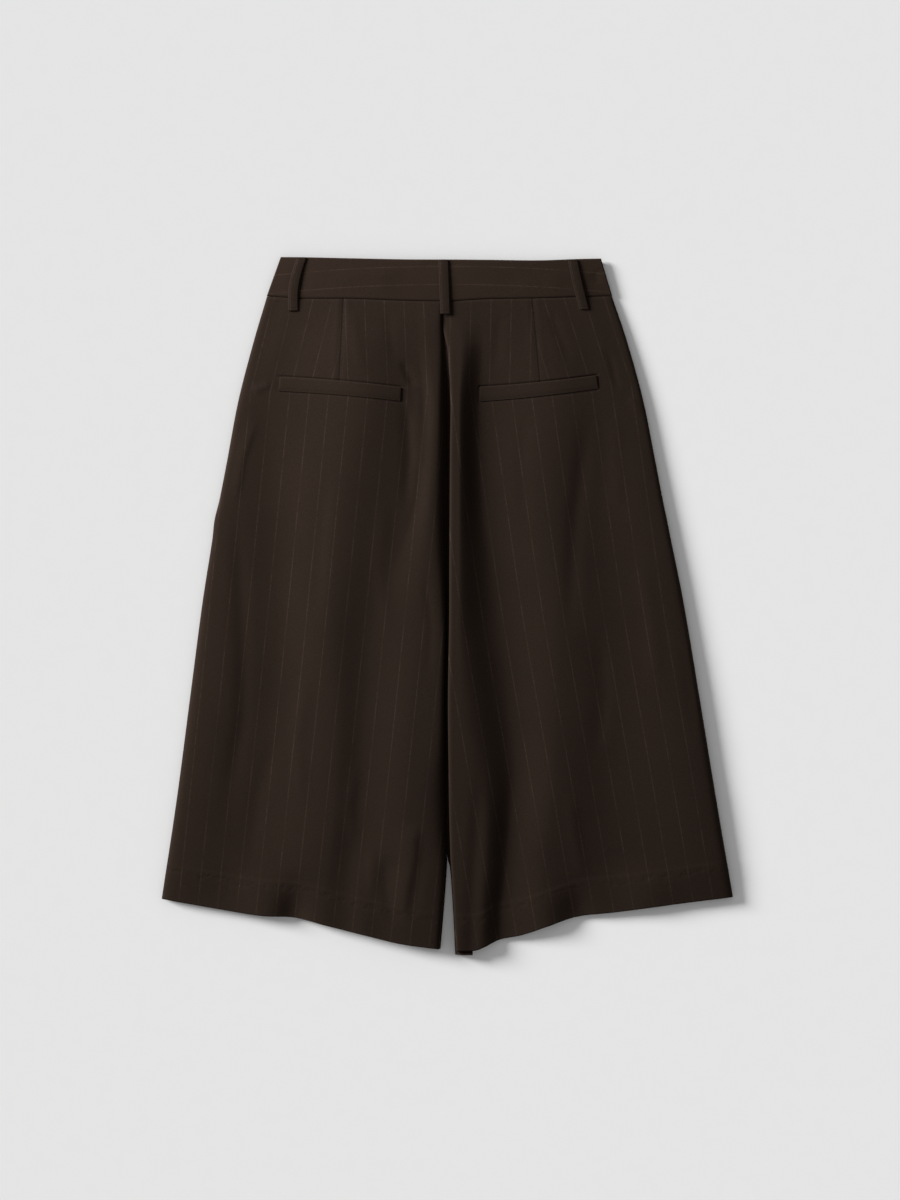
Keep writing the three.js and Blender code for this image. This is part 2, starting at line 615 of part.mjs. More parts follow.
// The zip behind the centre front opening, and the hook plate inside the front waistband's ends
function fastenings() {
  const zipY = bandSeamY(CENTRE_FRONT_X) - ZIP.belowSeam - ZIP.length / 2;
  const zipPlace = [CENTRE_FRONT_X + ZIP.offset, zipY, CLOTH + SEAM_GAP];
  const hookPlace = [CENTRE_FRONT_X, HOOK.y, BAND_WALL + SEAM_GAP];
  return [
    plate("fly_zip", [ZIP.width, ZIP.length, ZIP.wall], zipPlace, "zip"),
    plate("waist_hook", [HOOK.width, HOOK.height, HOOK.wall], hookPlace, "metal"),
  ];
}

const shorts = new THREE.Group();
for (const leg of ["left", "right"]) {
  shorts.add(backPanel(leg), frontPanel(leg), welt(leg), frontLoop(leg));
}
shorts.add(...waistband(), ...fastenings());
for (const [place, sizes] of Object.entries(BACK_LOOPS)) shorts.add(backLoop(`belt_loop_${place}`, sizes));

export default shorts;
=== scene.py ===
"""Wide-leg pinstriped bermuda shorts, laid flat with the back up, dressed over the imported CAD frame.

Every size is in millimetres in the CAD's own frame. Meshes are made in metres.
"""
import logging
import math
from dataclasses import dataclass, field
from enum import Enum

import bpy
import numpy as np
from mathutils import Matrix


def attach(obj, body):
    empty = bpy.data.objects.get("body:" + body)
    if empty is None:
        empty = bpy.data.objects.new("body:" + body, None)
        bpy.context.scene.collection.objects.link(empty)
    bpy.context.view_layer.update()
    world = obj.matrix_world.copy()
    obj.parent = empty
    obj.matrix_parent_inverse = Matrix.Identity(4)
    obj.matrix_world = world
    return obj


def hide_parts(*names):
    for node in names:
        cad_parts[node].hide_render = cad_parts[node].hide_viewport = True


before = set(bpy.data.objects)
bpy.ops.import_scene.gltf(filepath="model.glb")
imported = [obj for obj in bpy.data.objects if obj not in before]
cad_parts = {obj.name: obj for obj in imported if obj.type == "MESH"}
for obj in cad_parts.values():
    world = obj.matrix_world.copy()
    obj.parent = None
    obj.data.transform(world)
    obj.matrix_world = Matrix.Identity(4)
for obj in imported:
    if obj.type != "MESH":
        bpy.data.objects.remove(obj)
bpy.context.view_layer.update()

METRES = 0.001
log = logging.getLogger("shorts")

Array = np.ndarray
Point = tuple[float, float]
Colour = tuple[float, float, float, float]
Piece = bpy.types.Object
Material = bpy.types.Material
Socket = bpy.types.NodeSocket


# Sizes that several pieces share
CLOTH = 1.2
HEM_WALL = 2.0
HEM_TURN_UP = 36.0
HEM_STEP = 2.0
SEAM_GAP = 0.3
BAND_WALL = 2.0
LOOP_TAIL = 13.0
LOOP_WALL = 1.2
LOOP_WIDTH = 9.6
CENTRE_FRONT_X = -4.0
FRONT_HEM_SHORTER = 4.0

# A step along the cloth in its own coordinates, where a step across is one stripe
ALONG_STEP = 20.0

# A distance that no sewing reaches
FAR = 200.0

# A panel's x and y depend on each other: they start from this y and settle in this many rounds
FIRST_Y = 200.0
ROUNDS = 6


class Leg(Enum):
    """A side of the shorts as seen in the photograph."""

    LEFT = "left"
    RIGHT = "right"

    @property
    def inwards(self) -> float:
        """The way from the side seam inwards: 1 towards high x and -1 towards low x."""
        return 1.0 if self is Leg.LEFT else -1.0


@dataclass(frozen=True)
class Table:
    """Rows of numbers with named columns, read as smooth curves along the first column."""

    columns: tuple[str, ...]
    rows: tuple[tuple[float, ...], ...]

    def at(self, place: Array | float, column: str) -> Array:
        """Reads a column at any place.

        Args:
            place: values of the first column.
            column: the column to read.

        Returns:
            The smooth curve's value at each place.
        """
        rows = np.array(sorted(self.rows), float)
        keys, values = rows[:, 0], rows[:, self.columns.index(column)]
        slopes = np.gradient(values, keys, edge_order=1)
        slopes[1:-1] = (values[2:] - values[:-2]) / (keys[2:] - keys[:-2])
        place = np.asarray(place, float)
        i = np.clip(np.searchsorted(keys, place, side="right") - 1, 0, len(keys) - 2)
        span = keys[i + 1] - keys[i]
        t = (place - keys[i]) / span
        t2, t3 = t * t, t * t * t
        inside = (
            (2 * t3 - 3 * t2 + 1) * values[i]
            + (t3 - 2 * t2 + t) * span * slopes[i]
            + (3 * t2 - 2 * t3) * values[i + 1]
            + (t3 - t2) * span * slopes[i + 1]
        )
        before = values[0] + (place - keys[0]) * slopes[0]
        after = values[-1] + (place - keys[-1]) * slopes[-1]
        return np.where(place < keys[0], before, np.where(place > keys[-1], after, inside))


OUTLINE = Table(("y", "left", "right"), (
    (309, -181, 164), (266, -193.7, 178.5), (206, -209.3, 195), (146, -220.6, 207),
    (106, -228.4, 214.7), (86, -233.3, 218.9), (66, -235.6, 222.9), (6, -245, 235),
    (-94, -258.1, 251.8), (-194, -271.2, 268.2), (-292, -286, 285),
))

BAND = Table(("x", "seam", "top", "z"), (
    (-181, 309.6, 348.7, 4.4), (-145, 307.2, 348.4, 5.9), (-95, 306.8, 347.2, 7.2),
    (-40, 304.8, 346.1, 7.5), (0, 304.4, 346, 7.5), (40, 306.6, 345.7, 7.4),
    (90, 307.4, 345.2, 7.0), (130, 308.8, 346.6, 5.9), (164, 309.6, 347.4, 4.4),
))
BAND_TOP_ENDS = (-167.0, 152.8)
BAND_BOTTOM_ENDS = (-181.0, 164.0)

HEMS = {
    Leg.LEFT: Table(("x", "y"), (
        (-286, -292.5), (-221, -304), (-186.5, -309.2), (-152, -311.4), (-121.5, -319.2),
        (-82, -329), (-47.5, -337.2), (-7.5, -342.8),
    )),
    Leg.RIGHT: Table(("x", "y"), (
        (5, -344), (25.5, -344), (34, -341.6), (51.5, -333.4), (72.5, -329), (98, -320.4),
        (128, -310.6), (167, -306), (235, -296.8), (285, -290.6),
    )),
}

# Where each fold line runs and how high it lies, from the side seam inwards
FOLD_COLUMNS = (
    "y", "rimX", "rimZ", "hollowX", "hollowZ", "crestX", "crestZ",
    "dipX", "dipZ", "rollX", "rollZ", "footX", "footZ", "seamX",
)
FOLDS = {
    Leg.LEFT: Table(FOLD_COLUMNS, (
        ( 309, -171, 5.2, -150, 5.9,  -96,  7.2, -36, 7.4, -20,  7.4,   -8, 7.2, -4.2),
        ( 284, -179, 5.6, -159, 6.3,  -90,   10, -32, 9.4, -19, 10.0, -6.7, 6.6, -6.4),
        ( 256, -187, 6.2, -168, 6.8,  -86,   13, -30, 9.6, -18, 10.0, -5.6, 6.0,   -3),
        ( 206, -198,   7, -179, 6.6,  -84, 14.5, -27, 9.4, -13, 12.2, -4.4, 4.1, -1.7),
        ( 156, -208, 7.6, -177,   6,  -94, 14.4, -30, 9.2, -14, 12.4, -4.2, 4.1, -1.3),
        (  96, -219,   8, -176, 5.6, -104, 13.6, -36,   9, -18, 12.4, -4.2, 2.8, -1.2),
        ( -14, -229,   9, -171,   5, -117, 12.4, -73, 8.2, -26,   12, -2.7, 2.8, -1.4),
        ( -94, -234, 9.6, -175, 4.7, -113, 11.2, -81, 7.8, -32, 12.8,   -4, 2.8, -2.5),
        (-204, -256, 9.8, -190, 5.8, -115, 11.6, -88, 8.4, -38, 13.4, -3.4, 2.8,   -2),
        (-250, -259, 9.9, -198, 6.7, -121, 11.4, -94, 8.6, -40, 13.2, -2.8, 2.8, -1.0),
        (-262, -260,  10, -200,   7, -122, 11.4, -96, 8.6, -40, 13.2, -2.6, 2.8, -1.2),
        (-304, -264, 8.4, -222, 8.2, -126, 10.6, -96,   9, -36, 13.4, -5.6, 2.8, -4.2),
        (-344, -268,   7, -226,   8, -128,   10, -98,   9, -36, 13.0,   -9, 2.8, -7.6),
    )),
    Leg.RIGHT: Table(FOLD_COLUMNS, (
        ( 309, 154,  5.2, 128, 5.9,  88,  6.9, 34, 7.2,   14,  7.3,    0, 7.2, -3.9),
        ( 284, 163,  5.8, 139, 6.5,  95,  8.0, 34, 7.0,   10,  7.8, -5.9, 5.6, -6.1),
        ( 268, 168,  6.1, 145, 6.8,  99,  8.8, 35, 6.4,   12,  9.6, -3.2, 6.0, -4.0),
        ( 256, 172,  6.4, 150,   7, 102,  9.4, 36,   6,   13, 11.2, -0.4, 5.8, -2.7),
        ( 206, 185,  7.2, 156, 7.4, 110,  9.8, 32,   4,   11, 13.6,  2.4, 4.1, -1.4),
        ( 156, 194,    8, 158, 6.6, 106, 10.2, 32, 3.8,   11, 14.2,    2, 4.1,   -1),
        (  96, 205,  8.8, 156, 6.2, 104,   10, 36, 3.4,   11, 14.6,  1.6, 2.8, -0.9),
        (  46, 214,  9.2, 160, 6.3, 108,  9.6, 44, 3.2,   11, 14.8,  1.3, 2.8,   -1),
        ( -14, 223,  9.6, 165, 6.4, 112,  9.2, 52,   3,   11,   15,  1.1, 2.8, -1.1),
        ( -94, 238, 10.4, 167, 5.6, 110,  8.4, 62,   3,   11,   15, -0.1, 2.8, -2.2),
        (-164, 247, 10.6, 164, 4.9, 107,  9.2, 66, 3.2,   11, 14.4,  0.6, 2.8, -2.0),
        (-204, 254, 10.8, 164, 4.7, 104,  9.4, 63, 3.4,   11, 14.2,  1.1, 2.8, -1.7),
        (-250, 259, 10.5, 166, 4.9,  97,  9.2, 59,   4,   12, 13.9,  2.4, 2.8, -0.4),
        (-262, 260, 10.4, 166,   5,  96,  9.2, 58, 4.2,   13, 13.8,  3.2, 2.8,  2.0),
        (-304, 262,  8.6, 166, 6.6,  92,  9.2, 53, 4.4,   15, 13.4,  5.8, 2.8,  5.0),
        (-344, 264,    7, 164,   7,  90,  8.6, 52, 4.6,   17, 12.8,  8.0, 2.8,  7.0),
    )),
}
KNOTS = ("rim", "hollow", "crest", "dip", "roll", "foot")

# How square each leg's shoulder is beside the slit: 2 is round, and a larger number is squarer
STEEPNESS = Table(("y", "left", "right"), (
    (309, 8, 3), (284, 4, 2.2), (262, 3.6, 6), (236, 3.2, 8), (200, 2.5, 8), (60, 2.4, 8),
    (10, 4, 8), (-40, 7, 8), (-110, 6, 8), (-174, 3, 8), (-224, 2.8, 8), (-264, 4, 8), (-345, 7, 8),
))

# Where a leg's roll falls steepest towards its dip: above 1 it is nearer the dip
SKEW = Table(("y", "left", "right"), (
    (309, 1, 1), (206, 1, 0.9), (96, 1, 0.85), (-14, 1, 0.8), (-54, 1, 0.95), (-94, 1, 1.1),
    (-134, 1, 1.35), (-174, 1, 1.8), (-214, 1, 2.3), (-260, 1, 2.4), (-345, 1, 2.2),
))

# How square the turn at a side seam is
SIDE_POWER = 4


def mix(a: Array | float, b: Array | float, t: Array | float) -> Array | float:
    """The value a share t of the way from a to b."""
    return a + (b - a) * t


def smooth(t: Array | float) -> Array:
    """A soft step from 0 to 1."""
    t = np.clip(t, 0, 1)
    return t * t * (3 - 2 * t)


def bell(away: Array | float, width: Array | float) -> Array:
    """A soft bump, 1 where away is 0 and nearly 0 from twice the width on."""
    return np.exp(-((away / width) ** 2))


def shoulder(t: Array, power: Array | float = 2) -> Array:
    """A rounded fall from 1 at 0 to 0 at 1, squarer with a larger power."""
    return np.maximum(0, 1 - t**power) ** (1 / power)


def below_band(x: Array, y: Array) -> Array:
    """How far each point is below the waistband's seam."""
    return BAND.at(x, "seam") - y


def band_x(x: Array, share: Array | float) -> Array:
    """The x of a waistband point that is over x on the seam, a share of the way up the band."""
    across = (x - BAND_BOTTOM_ENDS[0]) / (BAND_BOTTOM_ENDS[1] - BAND_BOTTOM_ENDS[0])
    return mix(x, mix(*BAND_TOP_ENDS, across), share)


@dataclass(frozen=True)
class Crease:
    """A soft ridge or trough along a line.

    rise is its height in the middle, below zero for a trough. width is its half-width, and lean
    makes the side to the right of its direction wider or narrower. fade is the share of its length
    over which each end runs out.
    """

    points: tuple[Point, ...]
    rise: float
    width: float
    lean: float = 0.0
    fade: float = 0.3

    def height(self, x: Array, y: Array) -> Array:
        """How much it lifts the cloth.

        Args:
            x: the points' x.
            y: the points' y.

        Returns:
            The lift at each point.
        """
        lengths = [math.dist(a, b) for a, b in zip(self.points, self.points[1:])]
        total = sum(lengths)
        nearest = np.full(np.shape(x), np.inf)
        side = np.zeros(np.shape(x))
        along = np.zeros(np.shape(x))
        passed = 0.0
        for (ax, ay), (bx, by), length in zip(self.points, self.points[1:], lengths):
            ux, uy = (bx - ax) / length, (by - ay) / length
            reach = (x - ax) * ux + (y - ay) * uy
            held = np.clip(reach, 0, length)
            dx, dy = x - ax - held * ux, y - ay - held * uy
            away = np.hypot(dx, dy)
            closer = away < nearest
            nearest = np.where(closer, away, nearest)
            side = np.where(closer, np.sign(dx * uy - dy * ux), side)
            along = np.where(closer, (passed + held) / total, along)
            passed += length
        window = smooth(along / self.fade) * smooth((1 - along) / self.fade)
        return self.rise * window * bell(nearest, self.width * (1 + self.lean * side))


@dataclass(frozen=True)
class HemFold:
    """A short fold that opens towards the hem."""

    start: Point
    end: Point
    rise: float
    width: float

    def height(self, x: Array, y: Array) -> Array:
        """How much it lifts the cloth at each point."""
        t = (self.start[1] - y) / (self.start[1] - self.end[1])
        return self.rise * smooth(t) * bell(x - mix(self.start[0], self.end[0], t), self.width)


HEM_FOLDS = {
    Leg.LEFT: (
        HemFold((-196, -240), (-184, -309), 2.6, 22),
        HemFold((-150, -258), (-154, -311), -5, 15),
        HemFold((-84, -220), (-86, -329), 2.2, 14),
    ),
    Leg.RIGHT: (
        HemFold((96, -250), (99, -320), 2.4, 15),
        HemFold((128, -262), (131, -310), -3, 15),
        HemFold((196, -240), (200, -301), 2.6, 26),
    ),
}

CREASES = {
    Leg.LEFT: (
        # from the pocket's inner end and the dart downwards
        Crease(((-48, 216), (-40, 190), (-38, 150), (-42, 90)), -1.2, 5, 0.3),
        Crease(((-30, 230), (-28, 180), (-29, 120)), 0.7, 5),
        Crease(((-96, 300), (-92, 262), (-84, 232)), 0.5, 6),
        Crease(((-60, 300), (-58, 270), (-52, 240)), -0.5, 5),
        Crease(((-47, 246), (-40, 230), (-34, 216)), -1.0, 4, -0.3),
        Crease(((-176, 222), (-196, 214)), 0.6, 4),
        Crease(((-190, 190), (-204, 150), (-214, 96)), 0.7, 5, 0.3),
        # long soft waves down the leg
        Crease(((-120, 150), (-128, 60), (-132, -30)), -0.7, 9, 0.2),
        Crease(((-62, 120), (-68, 40), (-60, -40)), 0.6, 8),
        Crease(
            ((-212, 120), (-208, 40), (-204, -50), (-205, -114), (-216, -174), (-224, -236)),
            -1.1, 8,
        ),
        Crease(((-140, -60), (-150, -130), (-146, -210)), 0.7, 8),
        Crease(((-168, -120), (-190, -190), (-198, -260)), -0.6, 8),
        Crease(((-24, 40), (-16, -20), (-20, -80)), -0.5, 4),
        Crease(((-90, -150), (-98, -200), (-92, -250)), 0.5, 6),
        # two folds that run into the caught stitch near the hem, and the ridges beside them
        Crease(
            ((-33, -214), (-35, -250), (-38, -266), (-42, -282), (-44, -298), (-46, -318)),
            1.8, 10, 0.42, 0.2,
        ),
        Crease(((-60, -246), (-61, -274), (-58, -298), (-52, -322)), -1.4, 11, -0.42, 0.24),
        Crease(((-76, -236), (-76, -262), (-76, -296)), 0.8, 6, 0, 0.4),
        Crease(((-19, -250), (-22, -285), (-28, -318)), 0.5, 6, 0, 0.4),
    ),
    Leg.RIGHT: (
        # the second trough beside the slit, which runs out through the hem
        Crease(((31, -150), (30, -190), (28, -240), (25, -290), (23, -420)), -1.4, 7.5, 0, 0.3),
        # the streaks that run down from the pocket's outer end
        Crease(
            ((140, 204), (137, 176), (134, 146), (131, 116), (127, 86), (124, 40), (122, -40)),
            -1.05, 8.5,
        ),
        Crease(((166, 200), (168, 150), (170, 90)), 0.5, 8),
        Crease(((153, 258), (162, 247), (165, 237), (166, 229), (172, 212)), -0.5, 3.5),
        Crease(((78, 200), (74, 140), (80, 70)), -0.5, 7),
        # long soft waves down the leg
        Crease(((150, -20), (156, -90), (148, -160)), -0.8, 9, 0.2),
        Crease(((190, 60), (204, -20), (210, -100)), 0.7, 8),
        Crease(((232, 10), (240, -60), (250, -130)), -0.7, 6),
        Crease(((120, -180), (126, -230), (136, -280)), 0.6, 7),
        Crease(((52, 296), (50, 262), (46, 232)), -0.5, 5),
        Crease(((100, 300), (112, 268), (124, 240)), -0.5, 5),
        Crease(((180, 210), (196, 190)), 0.6, 4),
    ),
}

# Slight waves along the waistband, uneven in length and spacing
BAND_WAVES = (
    Crease(((-150, 312), (-150, 340)), -0.5, 9),
    Crease(((-70, 310), (-62, 338)), 0.35, 12),
    Crease(((-30, 342), (20, 341)), -0.3, 3),
    Crease(((58, 312), (70, 340)), -0.3, 12),
    Crease(((100, 312), (112, 336)), 0.35, 9),
    Crease(((144, 334), (152, 322)), -0.6, 5),
    Crease(((-118, 330), (-40, 333)), 0.25, 5),
    Crease(((20, 320), (96, 318)), 0.25, 5),
)


@dataclass(frozen=True)
class Dart:
    """A dart: where its seam runs, how much cloth it takes up at the waist, and how it shows.

    The seam lies ditch deep, and the cloth stands swell high at swell_from beside it. Both run out
    towards the tip.
    """

    top: Point
    tip: Point
    intake: float
    ditch: float = 0.3
    ditch_width: float = 2.2
    swell: float = 0.2
    swell_from: float = 5.0
    swell_width: float = 2.5
    run_out: float = 6.0

    def seam_x(self, y: Array) -> Array:
        """The seam's x at each y."""
        return mix(self.top[0], self.tip[0], (self.top[1] - y) / (self.top[1] - self.tip[1]))

    def share(self, y: Array) -> Array:
        """How much of the intake is taken up at each y: 0 at the tip and 1 at the waist."""
        return np.clip((y - self.tip[1]) / (self.top[1] - self.tip[1]), 0, None)

    def height(self, x: Array, y: Array) -> Array:
        """The seam's narrow ditch and the slight swell beside it.

        Args:
            x: the points' x.
            y: the points' y.

        Returns:
            The lift at each point.
        """
        away = x - self.seam_x(y)
        ditch = -self.ditch * bell(away, self.ditch_width)
        swell = self.swell * bell(np.abs(away) - self.swell_from, self.swell_width)
        return smooth((y - self.tip[1]) / self.run_out) * (ditch + swell)

    def beside(self, x: Array, y: Array) -> Array:
        """How far each point is from the seam, and far below the tip."""
        return np.where(y < self.tip[1], FAR, x - self.seam_x(y))


DARTS = {
    Leg.LEFT: Dart((-104.5, 306), (-109, 214), 27),
    Leg.RIGHT: Dart((84.3, 306), (92, 222), 28),
}


@dataclass(frozen=True)
class WeltShape:
    """A welt's corners from above, how far its long edges bow, and how its sewing sinks the panel.

    The panel is deepest mouth_above its mouth, and again foot_below its foot. The sewing fades out
    over side_fade above and below the welt, and over a share spill of its length at each end.
    """

    outer_top: Point
    inner_top: Point
    inner_bottom: Point
    outer_bottom: Point
    bow: float
    width: float = 14.5
    mouth_depth: float = 1.3
    mouth_width: float = 0.7
    mouth_above: float = 0.4
    foot_depth: float = 0.35
    foot_below: float = 0.5
    side_depth: float = 0.45
    seam_width: float = 0.9
    side_fade: float = 1.5
    spill: float = 0.012

    @property
    def length(self) -> float:
        """The welt's length along x."""
        return abs(self.inner_top[0] - self.outer_top[0])

    def bowed(self, along: Array) -> Array:
        """How far the long edges bow down at each share of the length."""
        return self.bow * 4 * along * (1 - along)

    def place(self, along: Array, down: Array) -> tuple[Array, Array]:
        """The x and y of a place on the welt.

        Args:
            along: 0 at the end near the side seam and 1 at the other end.
            down: 0 at the mouth and 1 at the lower edge.

        Returns:
            x and y.
        """
        x, y = (
            mix(
                mix(self.outer_top[i], self.inner_top[i], along),
                mix(self.outer_bottom[i], self.inner_bottom[i], along),
                down,
            )
            for i in (0, 1)
        )
        return x, y - self.bowed(along)

    def local(self, x: Array, y: Array) -> tuple[Array, Array]:
        """How far along the welt a point is, from 0 to 1, and how far above its mouth in mm."""
        along = (x - self.outer_top[0]) / (self.inner_top[0] - self.outer_top[0])
        return along, y - (mix(self.outer_top[1], self.inner_top[1], along) - self.bowed(along))

    def ditch(self, x: Array, y: Array) -> Array:
        """How the mouth and the seams around the welt sink the panel beneath it.

        Args:
            x: the points' x.
            y: the points' y.

        Returns:
            The lift at each point, below zero.
        """
        along, above = self.local(x, y)
        fade, spill = self.side_fade, self.spill
        ends = smooth((along + spill) / spill) * smooth((1 + spill - along) / spill)
        mouth = self.mouth_depth * bell(above - self.mouth_above, self.mouth_width)
        foot = self.foot_depth * bell(above + self.width + self.foot_below, self.seam_width)
        beside = smooth((fade - above) / fade) * smooth((above + self.width + fade) / fade)
        sides = self.side_depth * sum(
            bell((along - end) * self.length, self.seam_width) for end in (-spill / 2, 1 + spill / 2)
        )
        return -ends * (mouth + foot) - sides * beside


WELTS = {
    Leg.LEFT: WeltShape((-168, 228.9), (-46.4, 218.1), (-47.4, 204.4), (-169.2, 214.6), -1),
    Leg.RIGHT: WeltShape((148.3, 230.3), (31.6, 219), (31.6, 204.4), (150, 217.2), 1.4),
}


@dataclass(frozen=True)
class Grain:
    """How the pinstripes run on a leg: their pitch, one stripe's x, and how far they lean by y.

    At a dart the stripes jump to their new places within seam_width.
    """

    pitch: float
    stripe_x: float
    lean: Table
    seam_width: float = 0.4

    def across(self, x: Array, y: Array, dart: Dart | None) -> Array:
        """Counts the stripes across the cloth.

        Args:
            x: the points' x.
            y: the points' y.
            dart: the dart that takes cloth up, if there is one.

        Returns:
            How many stripes each point is from the first one.
        """
        taken = 0.0
        if dart is not None:
            side = np.tanh((x - dart.seam_x(y)) / self.seam_width)
            taken = side * (dart.intake / 2) * dart.share(y)
        return (x + taken - self.lean.at(y, "x") - self.stripe_x) / self.pitch


GRAINS = {
    Leg.LEFT: Grain(19.6, -99.6, Table(
        ("y", "x"), ((309, 10.4), (209, 0), (-54, -26.3), (-290, -51), (-345, -57))
    )),
    Leg.RIGHT: Grain(20.2, 43.9, Table(
        ("y", "x"), ((309, -15.2), (204, 0), (0, 29.2), (-150, 54.6), (-290, 78.6), (-345, 88))
    )),
}


@dataclass(frozen=True)
class Drape:
    """The upper face of one leg's back, as a height over x and y.

    The waistband's seam sinks it. The turned-up hem lifts it by ledge, from its stitched edge
    down to ledge_reach below that, where the lift has run out over ledge_fade.
    """

    leg: Leg
    seam_ditch: float = 0.9
    seam_width: float = 1.2
    ledge: float = 0.35
    ledge_soft: float = 2.0
    ledge_reach: float = 30.0
    ledge_fade: float = 24.0
    clearance: float = 0.2

    @property
    def folds(self) -> Table:
        """The leg's fold lines."""
        return FOLDS[self.leg]

    @property
    def hem(self) -> Table:
        """The leg's back hem."""
        return HEMS[self.leg]

    def stops(self, y: Array) -> list[Array]:
        """The x of the outline, each fold line and the inner seam at each y."""
        knots = [self.folds.at(y, f"{name}X") for name in KNOTS]
        return [OUTLINE.at(y, self.leg.value), *knots, self.folds.at(y, "seamX")]

    def above_hem(self, x: Array, y: Array) -> Array:
        """How far each point is above the back hem."""
        return y - self.hem.at(x, "y")

    def wall(self, distance: Array) -> Array:
        """The thickness of the cloth at a distance above a hem."""
        return mix(CLOTH, HEM_WALL, smooth((HEM_TURN_UP + HEM_STEP - distance) / HEM_STEP))

    def seat(self, x: Array, y: Array) -> Array:
        """How low the back may come before it meets the front."""
        return self.wall(self.above_hem(x, y) - FRONT_HEM_SHORTER - HEM_STEP) + SEAM_GAP

    def base(self, x: Array, y: Array) -> Array:
        """The height of the large folds alone.

        Args:
            x: the points' x.
            y: the points' y.

        Returns:
            The height at each point.
        """
        stops = self.stops(y)
        levels = [self.seat(stops[0], y)] + [self.folds.at(y, f"{name}Z") for name in KNOTS]
        side = self.leg.value
        height = levels[-1] + np.zeros(np.shape(x))
        for span in range(len(KNOTS) - 1, -1, -1):
            start, end = stops[span], stops[span + 1]
            t = np.clip((x - start) / (end - start), 0, 1)
            if span == 0:
                piece = mix(levels[0], levels[1], shoulder(1 - t, SIDE_POWER))
            elif span == KNOTS.index("foot"):
                piece = mix(levels[-1], levels[-2], shoulder(t, STEEPNESS.at(y, side)))
            elif span == KNOTS.index("roll"):
                piece = mix(levels[span + 1], levels[span], smooth((1 - t) ** SKEW.at(y, side)))
            else:
                piece = mix(levels[span], levels[span + 1], smooth(t))
            height = np.where((x - end) * self.leg.inwards <= 0, piece, height)
        return height

    def inside(self, x: Array, y: Array) -> Array:
        """Tells the open panel from its seams.

        Args:
            x: the points' x.
            y: the points' y.

        Returns:
            1 on the open panel, fading to 0 at the side seam and at the inner seam.
        """
        stops = self.stops(y)
        outer = np.clip((x - stops[0]) / (stops[1] - stops[0]), 0, 1)
        inner = np.clip((x - stops[-2]) / (stops[-3] - stops[-2]), 0, 1)
        return smooth(outer) * smooth(inner)

    def creased(self, x: Array, y: Array) -> Array:
        """How much the leg's creases lift each point."""
        return sum(crease.height(x, y) for crease in CREASES[self.leg])

    def height(self, x: Array, y: Array) -> Array:
        """The height of the upper face with every fold, crease, dart and ditch.

        Args:
            x: the points' x.
            y: the points' y.

        Returns:
            The height at each point.
        """
        extra = sum(fold.height(x, y) for fold in HEM_FOLDS[self.leg]) + self.creased(x, y)
        share = self.inside(x, y)
        ditch = -self.seam_ditch * bell(below_band(x, y), self.seam_width)
        turned_up = HEM_TURN_UP - self.above_hem(x, y)
        ledge = self.ledge * smooth((turned_up + self.ledge_soft) / (2 * self.ledge_soft))
        ledge = ledge * smooth((self.ledge_reach - turned_up) / self.ledge_fade)
        sewn = DARTS[self.leg].height(x, y) + WELTS[self.leg].ditch(x, y) + ledge
        height = self.base(x, y) + (extra + sewn) * share + ditch
        floor = self.seat(x, y) + self.wall(self.above_hem(x, y)) + self.clearance
        return np.where(share > 0.5, np.maximum(height, floor), height)


def face_out(mesh: bpy.types.Mesh) -> None:
    """Turns the faces over where the mesh is inside out.

    Args:
        mesh: a closed mesh.
    """
    mesh.calc_loop_triangles()
    points = np.zeros(len(mesh.vertices) * 3)
    mesh.vertices.foreach_get("co", points)
    corners = np.zeros(len(mesh.loop_triangles) * 3, int)
    mesh.loop_triangles.foreach_get("vertices", corners)
    a, b, c = points.reshape(-1, 3)[corners.reshape(-1, 3)].transpose(1, 0, 2)
    if np.einsum("ij,ij->i", a, np.cross(b, c)).sum() < 0:
        mesh.flip_normals()


